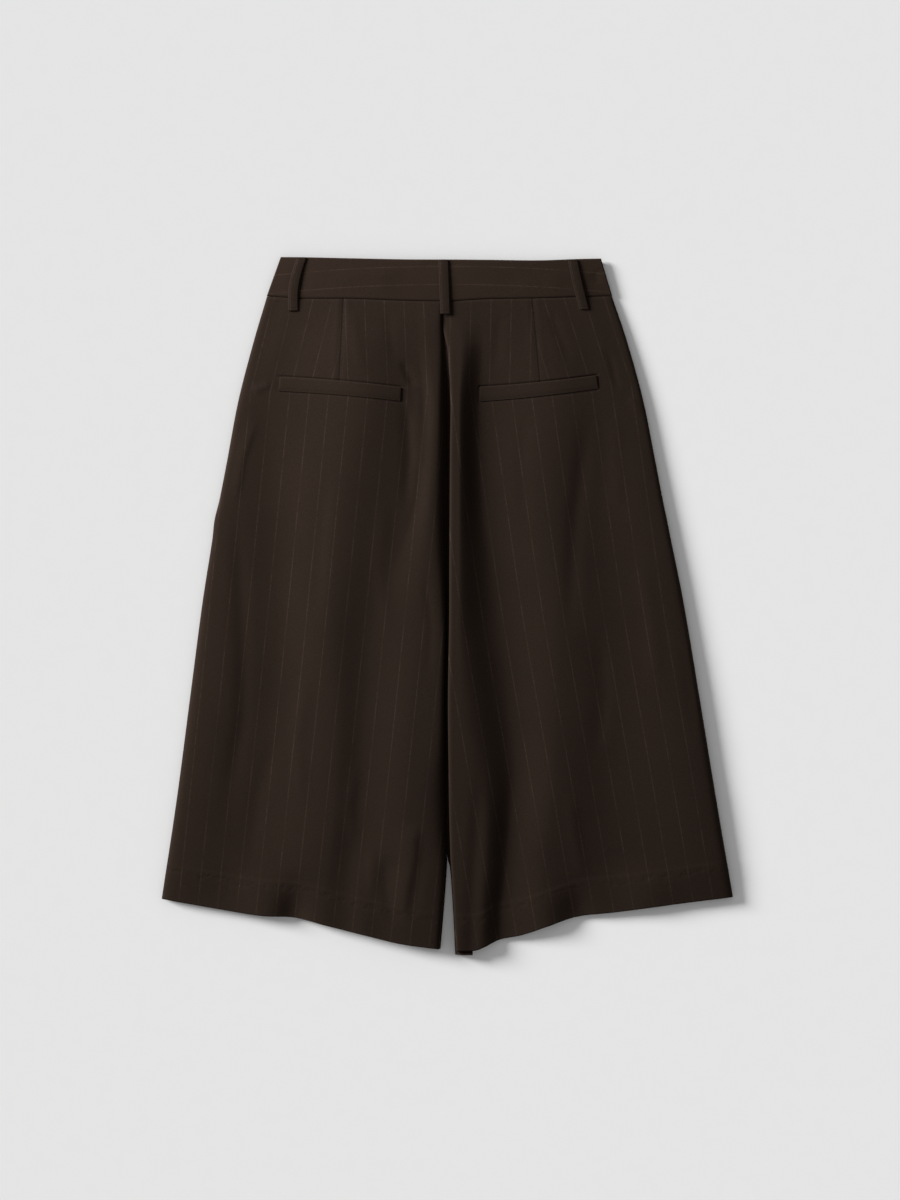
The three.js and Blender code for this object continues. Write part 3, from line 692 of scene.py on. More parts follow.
@dataclass
class Solid:
    """Collects a mesh from grids of points, and makes the object.

    hem and dart hold how far a wall's outer points are above the hem and from the dart's seam.
    """

    name: str
    points: list[Array] = field(default_factory=list)
    faces: list[Array] = field(default_factory=list)
    uvs: list[Array] = field(default_factory=list)
    edges: list[Array] = field(default_factory=list)
    hem: Array | None = None
    dart: Array | None = None
    count: int = 0

    def keep(self, points: Array, faces: Array, uv: Array, edge: Array) -> None:
        """Adds points and faces.

        Args:
            points: any shape by 3.
            faces: four corners each, counted from the first of these points.
            uv: any shape by 2, in stripes across and steps along.
            edge: 1 on a pressed fold edge, painted lighter as wear and as a painted highlight, and on
                the zip's teeth; 0 elsewhere.
        """
        self.points.append(points.reshape(-1, 3))
        self.faces.append(faces + self.count)
        self.uvs.append(uv.reshape(-1, 2))
        self.edges.append(edge.reshape(-1))
        self.count += points.size // 3

    def wall(self, outer: Array, inner: Array, uv: Array, edge: Array) -> None:
        """Adds a closed wall.

        Args:
            outer: rows by columns by 3, the outer points.
            inner: the matching inner points.
            uv: rows by columns by 2, in stripes across and steps along.
            edge: rows by columns, 1 on a pressed fold edge, painted lighter as wear and as a painted
                highlight, and on the zip's teeth; 0 elsewhere.
        """
        rows, columns = outer.shape[:2]
        at = np.arange(rows * columns).reshape(rows, columns)
        under = at + rows * columns
        sides = (
            (at[:-1, :-1], at[:-1, 1:], at[1:, 1:], at[1:, :-1]),
            (under[:-1, :-1], under[1:, :-1], under[1:, 1:], under[:-1, 1:]),
            (at[:-1, 0], at[1:, 0], under[1:, 0], under[:-1, 0]),
            (at[1:, -1], at[:-1, -1], under[:-1, -1], under[1:, -1]),
            (at[0, 1:], at[0, :-1], under[0, :-1], under[0, 1:]),
            (at[-1, :-1], at[-1, 1:], under[-1, 1:], under[-1, :-1]),
        )
        faces = [np.stack([corner.ravel() for corner in side], axis=1) for side in sides]
        points = np.stack([outer, inner])
        self.keep(points, np.concatenate(faces), np.stack([uv, uv]), np.stack([edge, edge]))

    def ring(self, rings: Array, uv: Array, edge: Array) -> None:
        """Adds a closed tube with flat ends.

        Args:
            rings: rings by points by 3, the rings that it runs through.
            uv: rings by points by 2, in stripes across and steps along.
            edge: rings by points, 1 on a pressed fold edge, painted lighter as wear and as a painted
                highlight, and on the zip's teeth; 0 elsewhere.
        """
        count, size = rings.shape[:2]
        at = np.arange(count * size).reshape(count, size)
        after = np.roll(at, -1, axis=1)
        sides = np.stack(
            [at[:-1].ravel(), after[:-1].ravel(), after[1:].ravel(), at[1:].ravel()], axis=1
        )
        caps = []
        for row, turn in ((at[0], -1), (at[-1], 1)):
            for i in range(1, size - 1):
                corner = [row[0], row[i], row[i + 1]][::turn]
                caps.append([*corner, corner[-1]])
        self.keep(rings, np.concatenate([sides, np.array(caps)]), uv, edge)

    def make(self, material: Material) -> Piece:
        """Makes the object, facing out and shaded smooth.

        Args:
            material: its finish.

        Returns:
            The new object, riding on the part's one body.
        """
        points = np.concatenate(self.points) * METRES
        polygons = [tuple(dict.fromkeys(face)) for face in np.concatenate(self.faces).tolist()]
        mesh = bpy.data.meshes.new(self.name)
        mesh.from_pydata(points.tolist(), [], polygons)
        mesh.validate()
        loops = np.zeros(len(mesh.loops), int)
        mesh.loops.foreach_get("vertex_index", loops)
        layer = mesh.uv_layers.new(name="cloth")
        layer.data.foreach_set("uv", np.concatenate(self.uvs)[loops].astype(np.float32).ravel())
        # the mask of fold edges that are painted lighter, as wear and as a painted highlight, and of
        # the zip's teeth
        measures = {"wear_highlight_teeth_mask": np.concatenate(self.edges)}
        for name, away in (("above_hem", self.hem), ("from_dart", self.dart)):
            measures[name] = np.full(len(points), FAR) if away is None else np.tile(away.ravel(), 2)
        for name, values in measures.items():
            attribute = mesh.attributes.new(name, "FLOAT", "POINT")
            attribute.data.foreach_set("value", values.astype(np.float32))
        face_out(mesh)
        mesh.shade_smooth()
        made = bpy.data.objects.new(self.name, mesh)
        bpy.context.scene.collection.objects.link(made)
        made.data.materials.append(material)
        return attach(made, "root")


@dataclass
class BackPanel:
    """A leg's back panel: the large folds, the creases, the dart and the turned-up hem."""

    leg: Leg
    columns: tuple[int, ...] = (12, 22, 34, 22, 24, 30, 3)
    crowding: float = 2.2
    seam_rows: tuple[float, ...] = (0, 0.5, 1.0, 1.6, 2.4, 3.4, 5.0)
    hem_rows: tuple[float, ...] = (5.0, 3.8, 2.8, 2.0, 1.3, 0.8, 0.4, 0.1, 0)
    row_ends: tuple[float, ...] = (7.2, 74.0, 104.0, 600.0)
    body_spacing: float = 2.6
    welt_spacing: float = 0.8
    hem_from: float = HEM_TURN_UP + 8
    hem_to: float = 6.0
    hem_spacing: float = 1.5
    spread_from: float = 110.0
    spread_over: float = 120.0
    last_striped: float = 5.97
    outer_rounding: float = 0.9
    inner_rounding: float = 0.6
    wear_and_highlight: float = 0.6
    wear_and_highlight_width: float = 1.5

    def places(self) -> Array:
        """Places across the panel, where each whole number is a fold line."""
        parts = [span + np.arange(n) / n for span, n in enumerate(self.columns)]
        return np.append(np.concatenate(parts), len(self.columns))

    def rows(self) -> Array:
        """Distances below the waist seam at a middling panel height, closest where there is sewing.

        Returns:
            The distances, from 0 down.
        """
        spacings = (self.body_spacing, self.welt_spacing, self.body_spacing)
        ends = zip(self.row_ends, self.row_ends[1:], spacings)
        return np.concatenate([self.seam_rows, *(np.arange(*end) for end in ends)])

    def grid(self) -> tuple[Array, Array]:
        """Lays out the panel's points.

        The rows keep their distance from the waist seam as far as spread_from, and spread evenly
        down to the hem's own rows once they are spread_over below that.

        Returns:
            The x and y of every point, in rows from the waist seam to the hem by places across.
        """
        drape = Drape(self.leg)
        places, distances = self.places(), self.rows()
        hem_distances = np.concatenate(
            [np.arange(self.hem_from, self.hem_to, -self.hem_spacing), self.hem_rows]
        )
        count = len(distances)
        below, above = distances[:, None], hem_distances[:, None]
        spread = smooth((below - self.spread_from) / self.spread_over)
        span = np.minimum(places.astype(int), len(KNOTS))
        t = places - span
        turn = 1 - np.cos(t * math.pi / 2) ** (2 / SIDE_POWER)
        crowded = 1 - (1 - t) ** self.crowding
        share = np.where(span == 0, turn, np.where(span == KNOTS.index("foot"), crowded, t))
        y = np.full((count + len(hem_distances), len(places)), FIRST_Y)
        index = np.broadcast_to(span, y.shape)[..., None]
        for _ in range(ROUNDS):
            stops = np.stack(drape.stops(y), axis=-1)
            start, end = (np.take_along_axis(stops, index + i, axis=-1)[..., 0] for i in (0, 1))
            x = mix(start, end, share)
            hem = drape.hem.at(x, "y")
            top = BAND.at(x[:count], "seam") - SEAM_GAP / 2
            low = hem[:count] + hem_distances[0] + self.body_spacing
            y[:count] = mix(top - below, top - below / distances[-1] * (top - low), spread)
            y[count:] = hem[count:] + above
        return x, y

    def build(self, material: Material) -> Piece:
        """Makes the panel.

        Args:
            material: the suiting.

        Returns:
            The panel.
        """
        drape, inwards = Drape(self.leg), self.leg.inwards
        x, y = self.grid()
        z = drape.height(x, y)
        distance = drape.above_hem(x, y)
        wall = drape.wall(distance)
        dx, dz = np.gradient(x, axis=1), np.gradient(z, axis=1)
        length = np.hypot(dx, dz)
        dx, dz = dx / length, dz / length
        dx[:, 0], dz[:, 0] = 0, 1
        dx[:, -1], dz[:, -1] = inwards, 0
        rounding = 1 - shoulder(np.clip(1 - distance, 0, 1))
        inner_z = z - dx * inwards * wall + self.inner_rounding * rounding
        outer = np.stack([x, y, z - self.outer_rounding * rounding], axis=-1)
        inner = np.stack([x + dz * wall * inwards, y, inner_z], axis=-1)
        across = GRAINS[self.leg].across(x, y, DARTS[self.leg])
        # between the stripes where the panel turns in beside the slit
        across = np.where(self.places() > self.last_striped, np.floor(across) + 0.5, across)
        uv = np.stack([across, y / ALONG_STEP], axis=-1)
        solid = Solid(f"back_{self.leg.value}_cloth")
        solid.hem = distance
        solid.dart = DARTS[self.leg].beside(x, y)
        # the hem's fold edge is painted lighter, as wear and as a painted highlight
        solid.wall(outer, inner, uv, self.wear_and_highlight * np.exp(-distance / self.wear_and_highlight_width))
        made = solid.make(material)
        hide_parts(f"back_{self.leg.value}")
        return made


@dataclass(frozen=True)
class LoopBump:
    """How a front panel rises where it crosses the belt loop beneath it."""

    left: float = -96
    right: float = 84
    plateau: float = 11
    reach: float = 26
    height: float = LOOP_WALL + SEAM_GAP
    past_loop: float = 2

    def at(self, leg: Leg, x: Array, y: Array) -> Array:
        """How much the panel rises.

        Args:
            leg: the panel's leg.
            x: the points' x.
            y: the points' y.

        Returns:
            The rise at each point.
        """
        centre = self.left if leg is Leg.LEFT else self.right
        side = 1 - smooth((np.abs(x - centre) - self.plateau) / (self.reach - self.plateau))
        below = below_band(x, y) - LOOP_TAIL - self.past_loop
        return self.height * side * (1 - smooth(below / self.reach))


BUMP = LoopBump()


@dataclass
class FrontPanel:
    """A leg's front panel, which lies on the surface.

    The right one has the row of stitches that holds the fly, and a tab at its hem's inner corner
    that shows in the slit and curls up.
    """

    leg: Leg
    across: int = 90
    down: int = 170
    seam_rows: tuple[float, ...] = (0, 0.6, 1.4, 3, 5, 8, 11, 14, 17, 20, 24, 28, 33, 38, 44)
    hem_rows: tuple[float, ...] = (*range(44, 8, -3), 6, 4, 2.6, 1.6, 0.9, 0.4, 0)
    seam_shift: float = 0.35
    shift_from: float = 262
    shift_over: float = 14
    tab_width: float = 17
    tab_y: float = -348.4
    tab_step: float = 0.002
    tab_curl: float = 8.0
    curl_length: float = 12
    curl_x: float = 8.5
    curl_over: float = 4
    fly_reach: float = 34
    fly_depth: float = 150
    groove: float = 0.3
    groove_width: float = 0.8
    seam_ditch: float = 0.35
    ditch_width: float = 1.3
    edge_rounding: float = 0.5
    wear_and_highlight_width: float = 3

    def fly_stitching(self, x: Array, y: Array) -> Array:
        """The shallow groove of the curved row of stitches that holds the fly.

        Args:
            x: the points' x.
            y: the points' y.

        Returns:
            How far each point is sunk, which is upwards on this side.
        """
        below = below_band(x, y)
        turn = np.clip((below - (self.fly_depth - self.fly_reach)) / self.fly_reach, 0, 1)
        line = CENTRE_FRONT_X + self.fly_reach * shoulder(turn)
        return self.groove * bell(x - line, self.groove_width) * (below < self.fly_depth)

    def grid(self) -> tuple[Array, Array, Array, Array]:
        """Lays out the panel's points.

        Returns:
            The x, y and distance above the hem of every point, in rows from the waist seam to the
            hem by places across, and which of the places across are on the tab.
        """
        drape = Drape(self.leg)
        share = np.linspace(0, 1, self.across)
        tab_share = 1 - self.tab_width / abs(drape.hem.rows[0][0] - drape.hem.rows[-1][0])
        tab = np.zeros(len(share), bool)
        if self.leg is Leg.RIGHT:
            share = np.sort(np.append(share, [tab_share - self.tab_step, tab_share]))
            tab = share >= tab_share
        top_distances, hem_distances = np.array(self.seam_rows), np.array(self.hem_rows)
        middle = np.linspace(0, 1, self.down)[1:-1]
        a, b = len(top_distances), len(top_distances) + len(middle)
        y = np.full((b + len(hem_distances), len(share)), FIRST_Y)
        for _ in range(ROUNDS):
            shift = self.seam_shift * smooth((y + self.shift_from) / self.shift_over)
            x = mix(OUTLINE.at(y, self.leg.value), drape.folds.at(y, "seamX") - shift, share)
            hem = np.where(tab, self.tab_y, drape.hem.at(x, "y") + FRONT_HEM_SHORTER)
            top = BAND.at(x, "seam") - SEAM_GAP / 2
            y[:a] = top[:a] - top_distances[:, None]
            y[a:b] = mix(top[a:b] - top_distances[-1], hem[a:b] + hem_distances[0], middle[:, None])
            y[b:] = hem[b:] + hem_distances[:, None]
        return x, y, y - hem, tab

    def build(self, material: Material) -> Piece:
        """Makes the panel.

        Args:
            material: the suiting.

        Returns:
            The panel.
        """
        x, y, distance, tab = self.grid()
        curled = smooth((self.tab_y + self.curl_length - y) / self.curl_length) * tab
        curl = self.tab_curl * curled * smooth((x - self.curl_x) / self.curl_over)
        low = BUMP.at(self.leg, x, y) + curl
        lift = self.edge_rounding * (1 - shoulder(np.clip(1 - distance, 0, 1)))
        groove = self.fly_stitching(x, y) if self.leg is Leg.RIGHT else 0.0
        ditch = self.seam_ditch * bell(below_band(x, y), self.ditch_width)
        outer = np.stack([x, y, low + lift + groove + ditch], axis=-1)
        inner = np.stack([x, y, low + Drape(self.leg).wall(distance) - lift], axis=-1)
        uv = np.stack([GRAINS[self.leg].across(x, y, None), y / ALONG_STEP], axis=-1)
        solid = Solid(f"front_{self.leg.value}_cloth")
        # the front hem's edge is painted lighter, as wear and as a painted highlight
        solid.wall(outer, inner, uv, np.exp(-distance / self.wear_and_highlight_width))
        made = solid.make(material)
        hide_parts(f"front_{self.leg.value}")
        return made


@dataclass
class Waistband:
    """The back waistband and the two front ones that meet at the centre front.

    Its top edge is folded above fold_from, as a share of its height, and its lower edges turn in
    to the seam within seam_turn.
    """

    bulge: float = 0.3
    front_lower: float = 3.0
    stations: int = 240
    fold_from: float = 0.972
    seam_turn: float = 0.018
    face_turn: float = 0.75
    lining_turn: float = 0.3
    wave_fade: float = 0.1
    stripe_pitch: float = 18.0
    stripe_y: float = 321.0
    stripe_bow: float = 6.0
    stripe_span: float = 144.0

    def section(self) -> tuple[Array, Array, Array]:
        """Works out the section of the folded band.

        Returns:
            Shares of the band's height round its section, depths below its face, and the pressed fold,
            painted lighter as wear and as a painted highlight.
        """
        face = np.concatenate([[0, 0.012, 0.03, 0.06], np.linspace(0.1, 0.9, 15), [0.94, 0.965]])
        roll = np.linspace(-math.pi / 2, math.pi / 2, 9)[1:-1]
        fold = self.fold_from + (1 - self.fold_from) * np.cos(roll)
        turned = bell(face, self.seam_turn)
        lining = (BAND_WALL - self.lining_turn * turned)[::-1]
        share = np.concatenate([face, fold, face[::-1]])
        depth = np.concatenate([self.face_turn * turned, BAND_WALL / 2 * (1 + np.sin(roll)), lining])
        pressed = np.concatenate([np.zeros_like(face), np.ones_like(roll), np.zeros_like(face)])
        return share, depth, pressed

    def piece(
        self, name: str, start: float, end: float, front: Leg | None, material: Material
    ) -> Piece:
        """Makes one length of the band.

        Args:
            name: the CAD solid that it replaces.
            start: its lowest x on the seam.
            end: its highest x on the seam.
            front: the leg that a front length belongs to, and None for the back.
            material: the suiting.

        Returns:
            The length.
        """
        share, depth, pressed = self.section()
        x0 = np.linspace(start, end, self.stations if front is None else self.stations // 2)[:, None]
        x, top_x = band_x(x0, share), band_x(x0, 1.0)
        lower = 0.0 if front is None else self.front_lower
        y = mix(BAND.at(x0, "seam") + SEAM_GAP / 2, BAND.at(top_x, "top") - lower, share)
        if front is None:
            face = BAND.at(x, "z") + self.bulge * 4 * share * (1 - share)
            face = face + self.waves(x, y, share) * (depth < BAND_WALL / 2)
        else:
            face = BAND_WALL + BUMP.at(front, x, np.broadcast_to(BAND.at(top_x, "top"), x.shape))
        bow = self.stripe_y - self.stripe_bow * (x / self.stripe_span) ** 2
        uv = np.stack([(y - bow) / self.stripe_pitch, x / ALONG_STEP], axis=-1)
        solid = Solid(f"{name}_cloth")
        # the band's fold is painted lighter, as wear and as a painted highlight
        solid.ring(np.stack([x, y, face - depth], axis=-1), uv, np.broadcast_to(pressed, x.shape))
        made = solid.make(material)
        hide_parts(name)
        return made

    def waves(self, x: Array, y: Array, share: Array) -> Array:
        """The slight waves along the band, which fade out at its seam and at its fold."""
        faded = smooth(share / self.wave_fade) * smooth((1 - share) / self.wave_fade)
        return sum(wave.height(x, y) for wave in BAND_WAVES) * faded

    def build(self, material: Material) -> list[Piece]:
        """Makes the three lengths.

        Args:
            material: the suiting.

        Returns:
            The back length and the two front ones.
        """
        left, right = BAND_BOTTOM_ENDS
        half = SEAM_GAP / 2
        return [
            self.piece("waistband_back", left, right, None, material),
            self.piece("waistband_front_left", left, CENTRE_FRONT_X - half, Leg.LEFT, material),
            self.piece("waistband_front_right", CENTRE_FRONT_X + half, right, Leg.RIGHT, material),
        ]


@dataclass
class Welt:
    """The single welt of a back pocket, folded at its mouth and sewn down at its other edges.

    It stands rise high. Its mouth rolls over by fold, it drops towards its sewn foot and ends, and
    a row of stitches sinks it beside each end.
    """

    leg: Leg
    along: int = 130
    rise: float = 0.75
    fold: float = 0.4
    fold_width: float = 0.7
    foot_share: float = 0.25
    foot_width: float = 5.0
    end_drop: float = 0.45
    end_width: float = 1.0
    stitch: float = 0.2
    stitch_from: float = 2.6
    stitch_width: float = 0.6
    clearance: float = 0.2
    lift: float = 0.15
    least: float = 0.25
    wear_and_highlight_width: float = 0.8
    stripe_from: float = 0.2
    stripe_share: float = 0.6

    def build(self, material: Material) -> Piece:
        """Makes the welt from the panel's own height, moved out.

        Args:
            material: the suiting.

        Returns:
            The welt.
        """
        drape, shape = Drape(self.leg), WELTS[self.leg]
        ends = np.array([0, 0.004, 0.009, 0.016])
        t = np.concatenate([ends, np.linspace(0.03, 0.97, self.along), 1 - ends[::-1]])
        near_mouth = [0, 0.012, 0.035, 0.07, 0.14, 0.25, 0.38]
        down = np.array([*near_mouth, 0.5, 0.62, 0.75, 0.86, 0.93, 0.965, 0.988, 1])
        along, across = np.meshgrid(t, down)
        x, y = shape.place(along, across)
        bottom = drape.base(x, y) + drape.creased(x, y) * drape.inside(x, y) + self.clearance
        from_end = np.minimum(along, 1 - along) * shape.length
        from_mouth, from_foot = across * shape.width, (1 - across) * shape.width
        fold = self.fold * (1 - shoulder(np.clip(1 - from_mouth / self.fold_width, 0, 1)))
        sewn_foot = mix(self.foot_share, 1.0, smooth(from_foot / self.foot_width))
        sewn_ends = 1 - self.end_drop * bell(from_end, self.end_width)
        stitch = self.stitch * bell(from_end - self.stitch_from, self.stitch_width)
        rise = self.rise * np.minimum(sewn_foot, sewn_ends) - fold - stitch + self.lift
        outer = np.stack([x, y, bottom + np.maximum(rise, self.least)], axis=-1)
        inner = np.stack([x, y, bottom], axis=-1)
        stripes = across * self.stripe_share + self.stripe_from
        uv = np.stack([stripes, x / ALONG_STEP], axis=-1)
        solid = Solid(f"pocket_welt_{self.leg.value}_cloth")
        # the mouth's fold is painted lighter, as wear and as a painted highlight
        solid.wall(outer, inner, uv, np.exp(-from_mouth / self.wear_and_highlight_width))
        made = solid.make(material)
        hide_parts(f"pocket_welt_{self.leg.value}")
        return made


def loop_stripes(across: Array) -> Array:
    """Where the stripes fall across a belt loop, which is cut between two of them."""
    return across * 0.24 + 0.14


def loop_wear_and_highlight(across: Array) -> Array:
    """How much a belt loop is painted lighter, as wear and as a painted highlight, most along its two
    long edges.
    """
    return np.exp(-((1 - np.abs(across)) / 0.1))


@dataclass
class BeltLoop:
    """A belt loop on the back: a folded strip, tacked down at both ends.

    Its tacks are at tack_places, as shares of its length. Its long edges are rounded by rim on top
    and by under_rim below, with a pressed groove beside each.
    """

    name: str
    top_x: float
    bottom_x: float
    bend: float
    slack: float = 0.8
    stations: int = 60
    below_top: float = 0.4
    length: float = 52.0
    feel: float = 2.5
    dip: float = 0.2
    crown: float = 0.12
    rim: float = 0.5
    under_rim: float = 0.45
    tack_places: tuple[float, float] = (0.045, 0.955)
    tack: float = 0.35
    tack_width: float = 0.9
    tip: float = 0.4
    tip_width: float = 0.8
    groove: float = 0.14
    groove_place: float = 0.74
    groove_width: float = 0.12

    def path(self) -> tuple[Array, Array, Array]:
        """Works out the middle line.

        Returns:
            Its x and y from top to bottom, and the share of the way down.
        """
        t = np.linspace(0, 1, self.stations)
        top_y = float(BAND.at(self.top_x, "top")) - self.below_top
        bottom_y = float(BAND.at(self.bottom_x, "seam")) - LOOP_TAIL
        x = mix(self.top_x, self.bottom_x, t) + self.bend * np.sin(math.pi * t)
        return x, mix(top_y, bottom_y, t), t

    def under(self, x: Array, y: Array) -> Array:
        """Finds the height of whatever lies under the loop.

        Args:
            x: the points' x.
            y: the points' y.

        Returns:
            The waistband's height above its seam, and the panel's height below it.
        """
        left, right = Drape(Leg.LEFT), Drape(Leg.RIGHT)
        panel = np.where(x < left.folds.at(y, "seamX"), left.base(x, y), right.base(x, y))
        return np.where(below_band(x, y) < 0, BAND.at(x, "z") + Waistband.bulge, panel)

    def build(self, material: Material) -> Piece:
        """Makes the strip with rounded long edges, its end tacks and its turned ends.

        Args:
            material: the suiting.

        Returns:
            The loop.
        """
        x, y, t = self.path()
        half = np.array([0.15, 0.45, 0.72, 0.9, 0.97, 1])
        across = np.concatenate([-half[::-1], half])
        x = x[:, None] + across * LOOP_WIDTH / 2
        y = np.broadcast_to(y[:, None], x.shape)
        nearby = [self.under(x, y + step).max(axis=1) for step in (-self.feel, 0, self.feel)]
        low = np.max(nearby, axis=0) + SEAM_GAP + self.slack * np.sin(math.pi * t)
        kernel = np.array([1, 2, 3, 2, 1]) / 9
        low = np.maximum(np.convolve(np.pad(low, 2, mode="edge"), kernel, "valid"), low - self.dip)
        rounding = np.sqrt(np.maximum(0, 1 - np.abs(across) ** 8))
        tacks = sum(bell((t - place) * self.length, self.tack_width) for place in self.tack_places)
        tips = bell(np.minimum(t, 1 - t) * self.length, self.tip_width)
        sunk = (self.tack * tacks + self.tip * tips)[:, None] * (1 - 0.2 * np.abs(across))
        groove = self.groove * bell(np.abs(across) - self.groove_place, self.groove_width)
        crown = self.crown * (1 - across**2) - self.rim * (1 - rounding)
        top = low[:, None] + LOOP_WALL + crown - groove - sunk
        bottom = low[:, None] + self.under_rim * (1 - rounding)
        uv = np.stack([np.broadcast_to(loop_stripes(across), x.shape), y / ALONG_STEP], axis=-1)
        # the loop's long edges are painted lighter, as wear and as a painted highlight
        wear_highlight_teeth_mask = np.broadcast_to(loop_wear_and_highlight(across), x.shape)
        solid = Solid(f"{self.name}_cloth")
        solid.wall(np.stack([x, y, top], axis=-1), np.stack([x, y, bottom], axis=-1), uv, wear_highlight_teeth_mask)
        made = solid.make(material)
        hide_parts(self.name)
        return made


@dataclass
class FrontLoop:
    """A belt loop on the front, pressed flat between the waistband and the surface."""

    leg: Leg
    stations: int = 40
    below_top: float = 3.6
    length: float = 50.0
    rim: float = 0.4
    tack: float = 0.2
    tack_from: float = 2.4
    tack_width: float = 0.8

    def build(self, material: Material) -> Piece:
        """Makes the strip.

        Args:
            material: the suiting.

        Returns:
            The loop.
        """
        x0 = BUMP.left if self.leg is Leg.LEFT else BUMP.right
        places = [-1, -0.95, -0.8, -0.4, 0, 0.4, 0.8, 0.95, 1]
        t, across = np.meshgrid(np.linspace(0, 1, self.stations), places, indexing="ij")
        top_y = float(BAND.at(x0, "top")) - self.below_top
        x = x0 + across * LOOP_WIDTH / 2
        y = mix(top_y, float(BAND.at(x0, "seam")) - LOOP_TAIL, t)
        rim = self.rim * (1 - np.sqrt(np.maximum(0, 1 - np.abs(across) ** 10)))
        from_end = np.minimum(t, 1 - t) * self.length
        tack = self.tack * bell(from_end - self.tack_from, self.tack_width)
        lower = np.stack([x, y, rim + tack], axis=-1)
        upper = np.stack([x, y, LOOP_WALL - rim], axis=-1)
        uv = np.stack([loop_stripes(across), y / ALONG_STEP], axis=-1)
        solid = Solid(f"belt_loop_front_{self.leg.value}_cloth")
        # the loop's long edges are painted lighter, as wear and as a painted highlight
        solid.wall(upper, lower, uv, loop_wear_and_highlight(across))
        made = solid.make(material)
        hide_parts(f"belt_loop_front_{self.leg.value}")
        return made


@dataclass
class FlyZip:
    """The closed zip behind the centre front: two tapes and a row of teeth.

    A tooth is wide, long and thick, and stands clear of the tape by tooth_gap.
    """

    width: float = 24.0
    length: float = 122.0
    below_seam: float = 2.0
    offset: float = 1.0
    tape: float = 0.5
    cord: float = 0.25
    cord_place: float = 0.1
    cord_width: float = 0.05
    stations: int = 80
    tooth: tuple[float, float, float] = (2.6, 1.1, 0.425)
    tooth_pitch: float = 2.0
    tooth_side: float = 0.55
    tooth_gap: float = 0.02
    first_tooth: float = 4.0
    missing_teeth: int = 3

    def build(self, material: Material) -> Piece:
        """Makes the tapes and the teeth as one mesh.

        Args:
            material: the tape's finish, which colours the parts marked with ones as teeth.

        Returns:
            The zip.
        """
        top = float(BAND.at(CENTRE_FRONT_X, "seam")) - self.below_seam
        middle, low = CENTRE_FRONT_X + self.offset, CLOTH + SEAM_GAP
        solid = Solid("fly_zip_tape")
        down = np.linspace(top, top - self.length, self.stations)
        y, share = np.meshgrid(down, [0.03, 0.08, 0.14, 0.5, 0.9, 1.0], indexing="ij")
        cord = self.cord * bell(share - self.cord_place, self.cord_width)
        for side in (-1, 1):
            x = middle + side * share * self.width / 2
            outer = np.stack([x, y, low + self.tape + cord], axis=-1)
            inner = np.stack([x, y, np.full(x.shape, low)], axis=-1)
            uv = np.stack([x, y], axis=-1) / ALONG_STEP
            solid.wall(outer, inner, uv, np.zeros(x.shape))
        wide, long, thick = self.tooth
        ring_z = low + self.tape + self.tooth_gap + np.array([0, 0, 1, 1]) * thick
        for i in range(int(self.length / self.tooth_pitch) - self.missing_teeth):
            side = 1 if i % 2 else -1
            cy = top - self.first_tooth - i * self.tooth_pitch
            ring_x = middle + side * self.tooth_side + np.array([-1, 1, 1, -1]) * wide / 2
            ends = [np.full(4, cy + end * long / 2) for end in (-1, 1)]
            rings = np.array([np.stack([ring_x, ring_y, ring_z], axis=-1) for ring_y in ends])
            solid.ring(rings, np.zeros((2, 4, 2)), np.ones((2, 4)))
        made = solid.make(material)
        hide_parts("fly_zip")
        return made


@dataclass
class WaistHook:
    """The hook and bar inside the front waistband: two rounded plates with a bent tongue."""

    width: float = 22.0
    height: float = 12.0
    tongue: float = 6.0
    wall: float = 0.8
    plate_wall: float = 0.45
    plate_gap: float = 0.4
    plate_trim: float = 0.6
    tongue_lift: float = 0.5
    y: float = 328.0
    corner: float = 2.4
    rim: float = 0.3
    rim_height: float = 0.12
    sides: int = 32

    def plate(self, solid: Solid, x: float, size: Point, low: float, high: float) -> None:
        """Adds a plate with rounded corners and a softened rim.

        Args:
            solid: what to add it to.
            x: its middle.
            size: its width and height.
            low: its underside.
            high: its upper face.
        """
        angle = np.linspace(0, 2 * math.pi, self.sides + 1)[:-1]
        cx, cy = (
            np.sign(turn) * (length / 2 - self.corner) + self.corner * turn
            for turn, length in zip((np.cos(angle), np.sin(angle)), size)
        )
        rings = []
        edges = ((self.rim, low), (0, low + self.rim_height), (0, high - self.rim_height))
        for inset, z in (*edges, (self.rim, high)):
            scale = 1 - inset / (min(size) / 2)
            z = np.full(self.sides, z)
            rings.append(np.stack([x + cx * scale, self.y + cy * scale, z], axis=-1))
        flat = np.zeros((len(rings), self.sides))
        solid.ring(np.array(rings), np.stack([flat, flat], axis=-1), flat)

    def build(self, material: Material) -> Piece:
        """Makes the plates and the tongue.

        Args:
            material: the metal.

        Returns:
            The hook.
        """
        low, half = BAND_WALL + SEAM_GAP, self.width / 2
        solid = Solid("waist_hook_metal")
        for side in (-1, 1):
            x = CENTRE_FRONT_X + side * (half + self.plate_gap) / 2
            size = (half - self.plate_trim, self.height)
            self.plate(solid, x, size, low, low + self.plate_wall)
        tongue = (half, self.tongue)
        self.plate(solid, CENTRE_FRONT_X, tongue, low + self.tongue_lift, low + self.wall)
        made = solid.make(material)
        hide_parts("waist_hook")
        return made


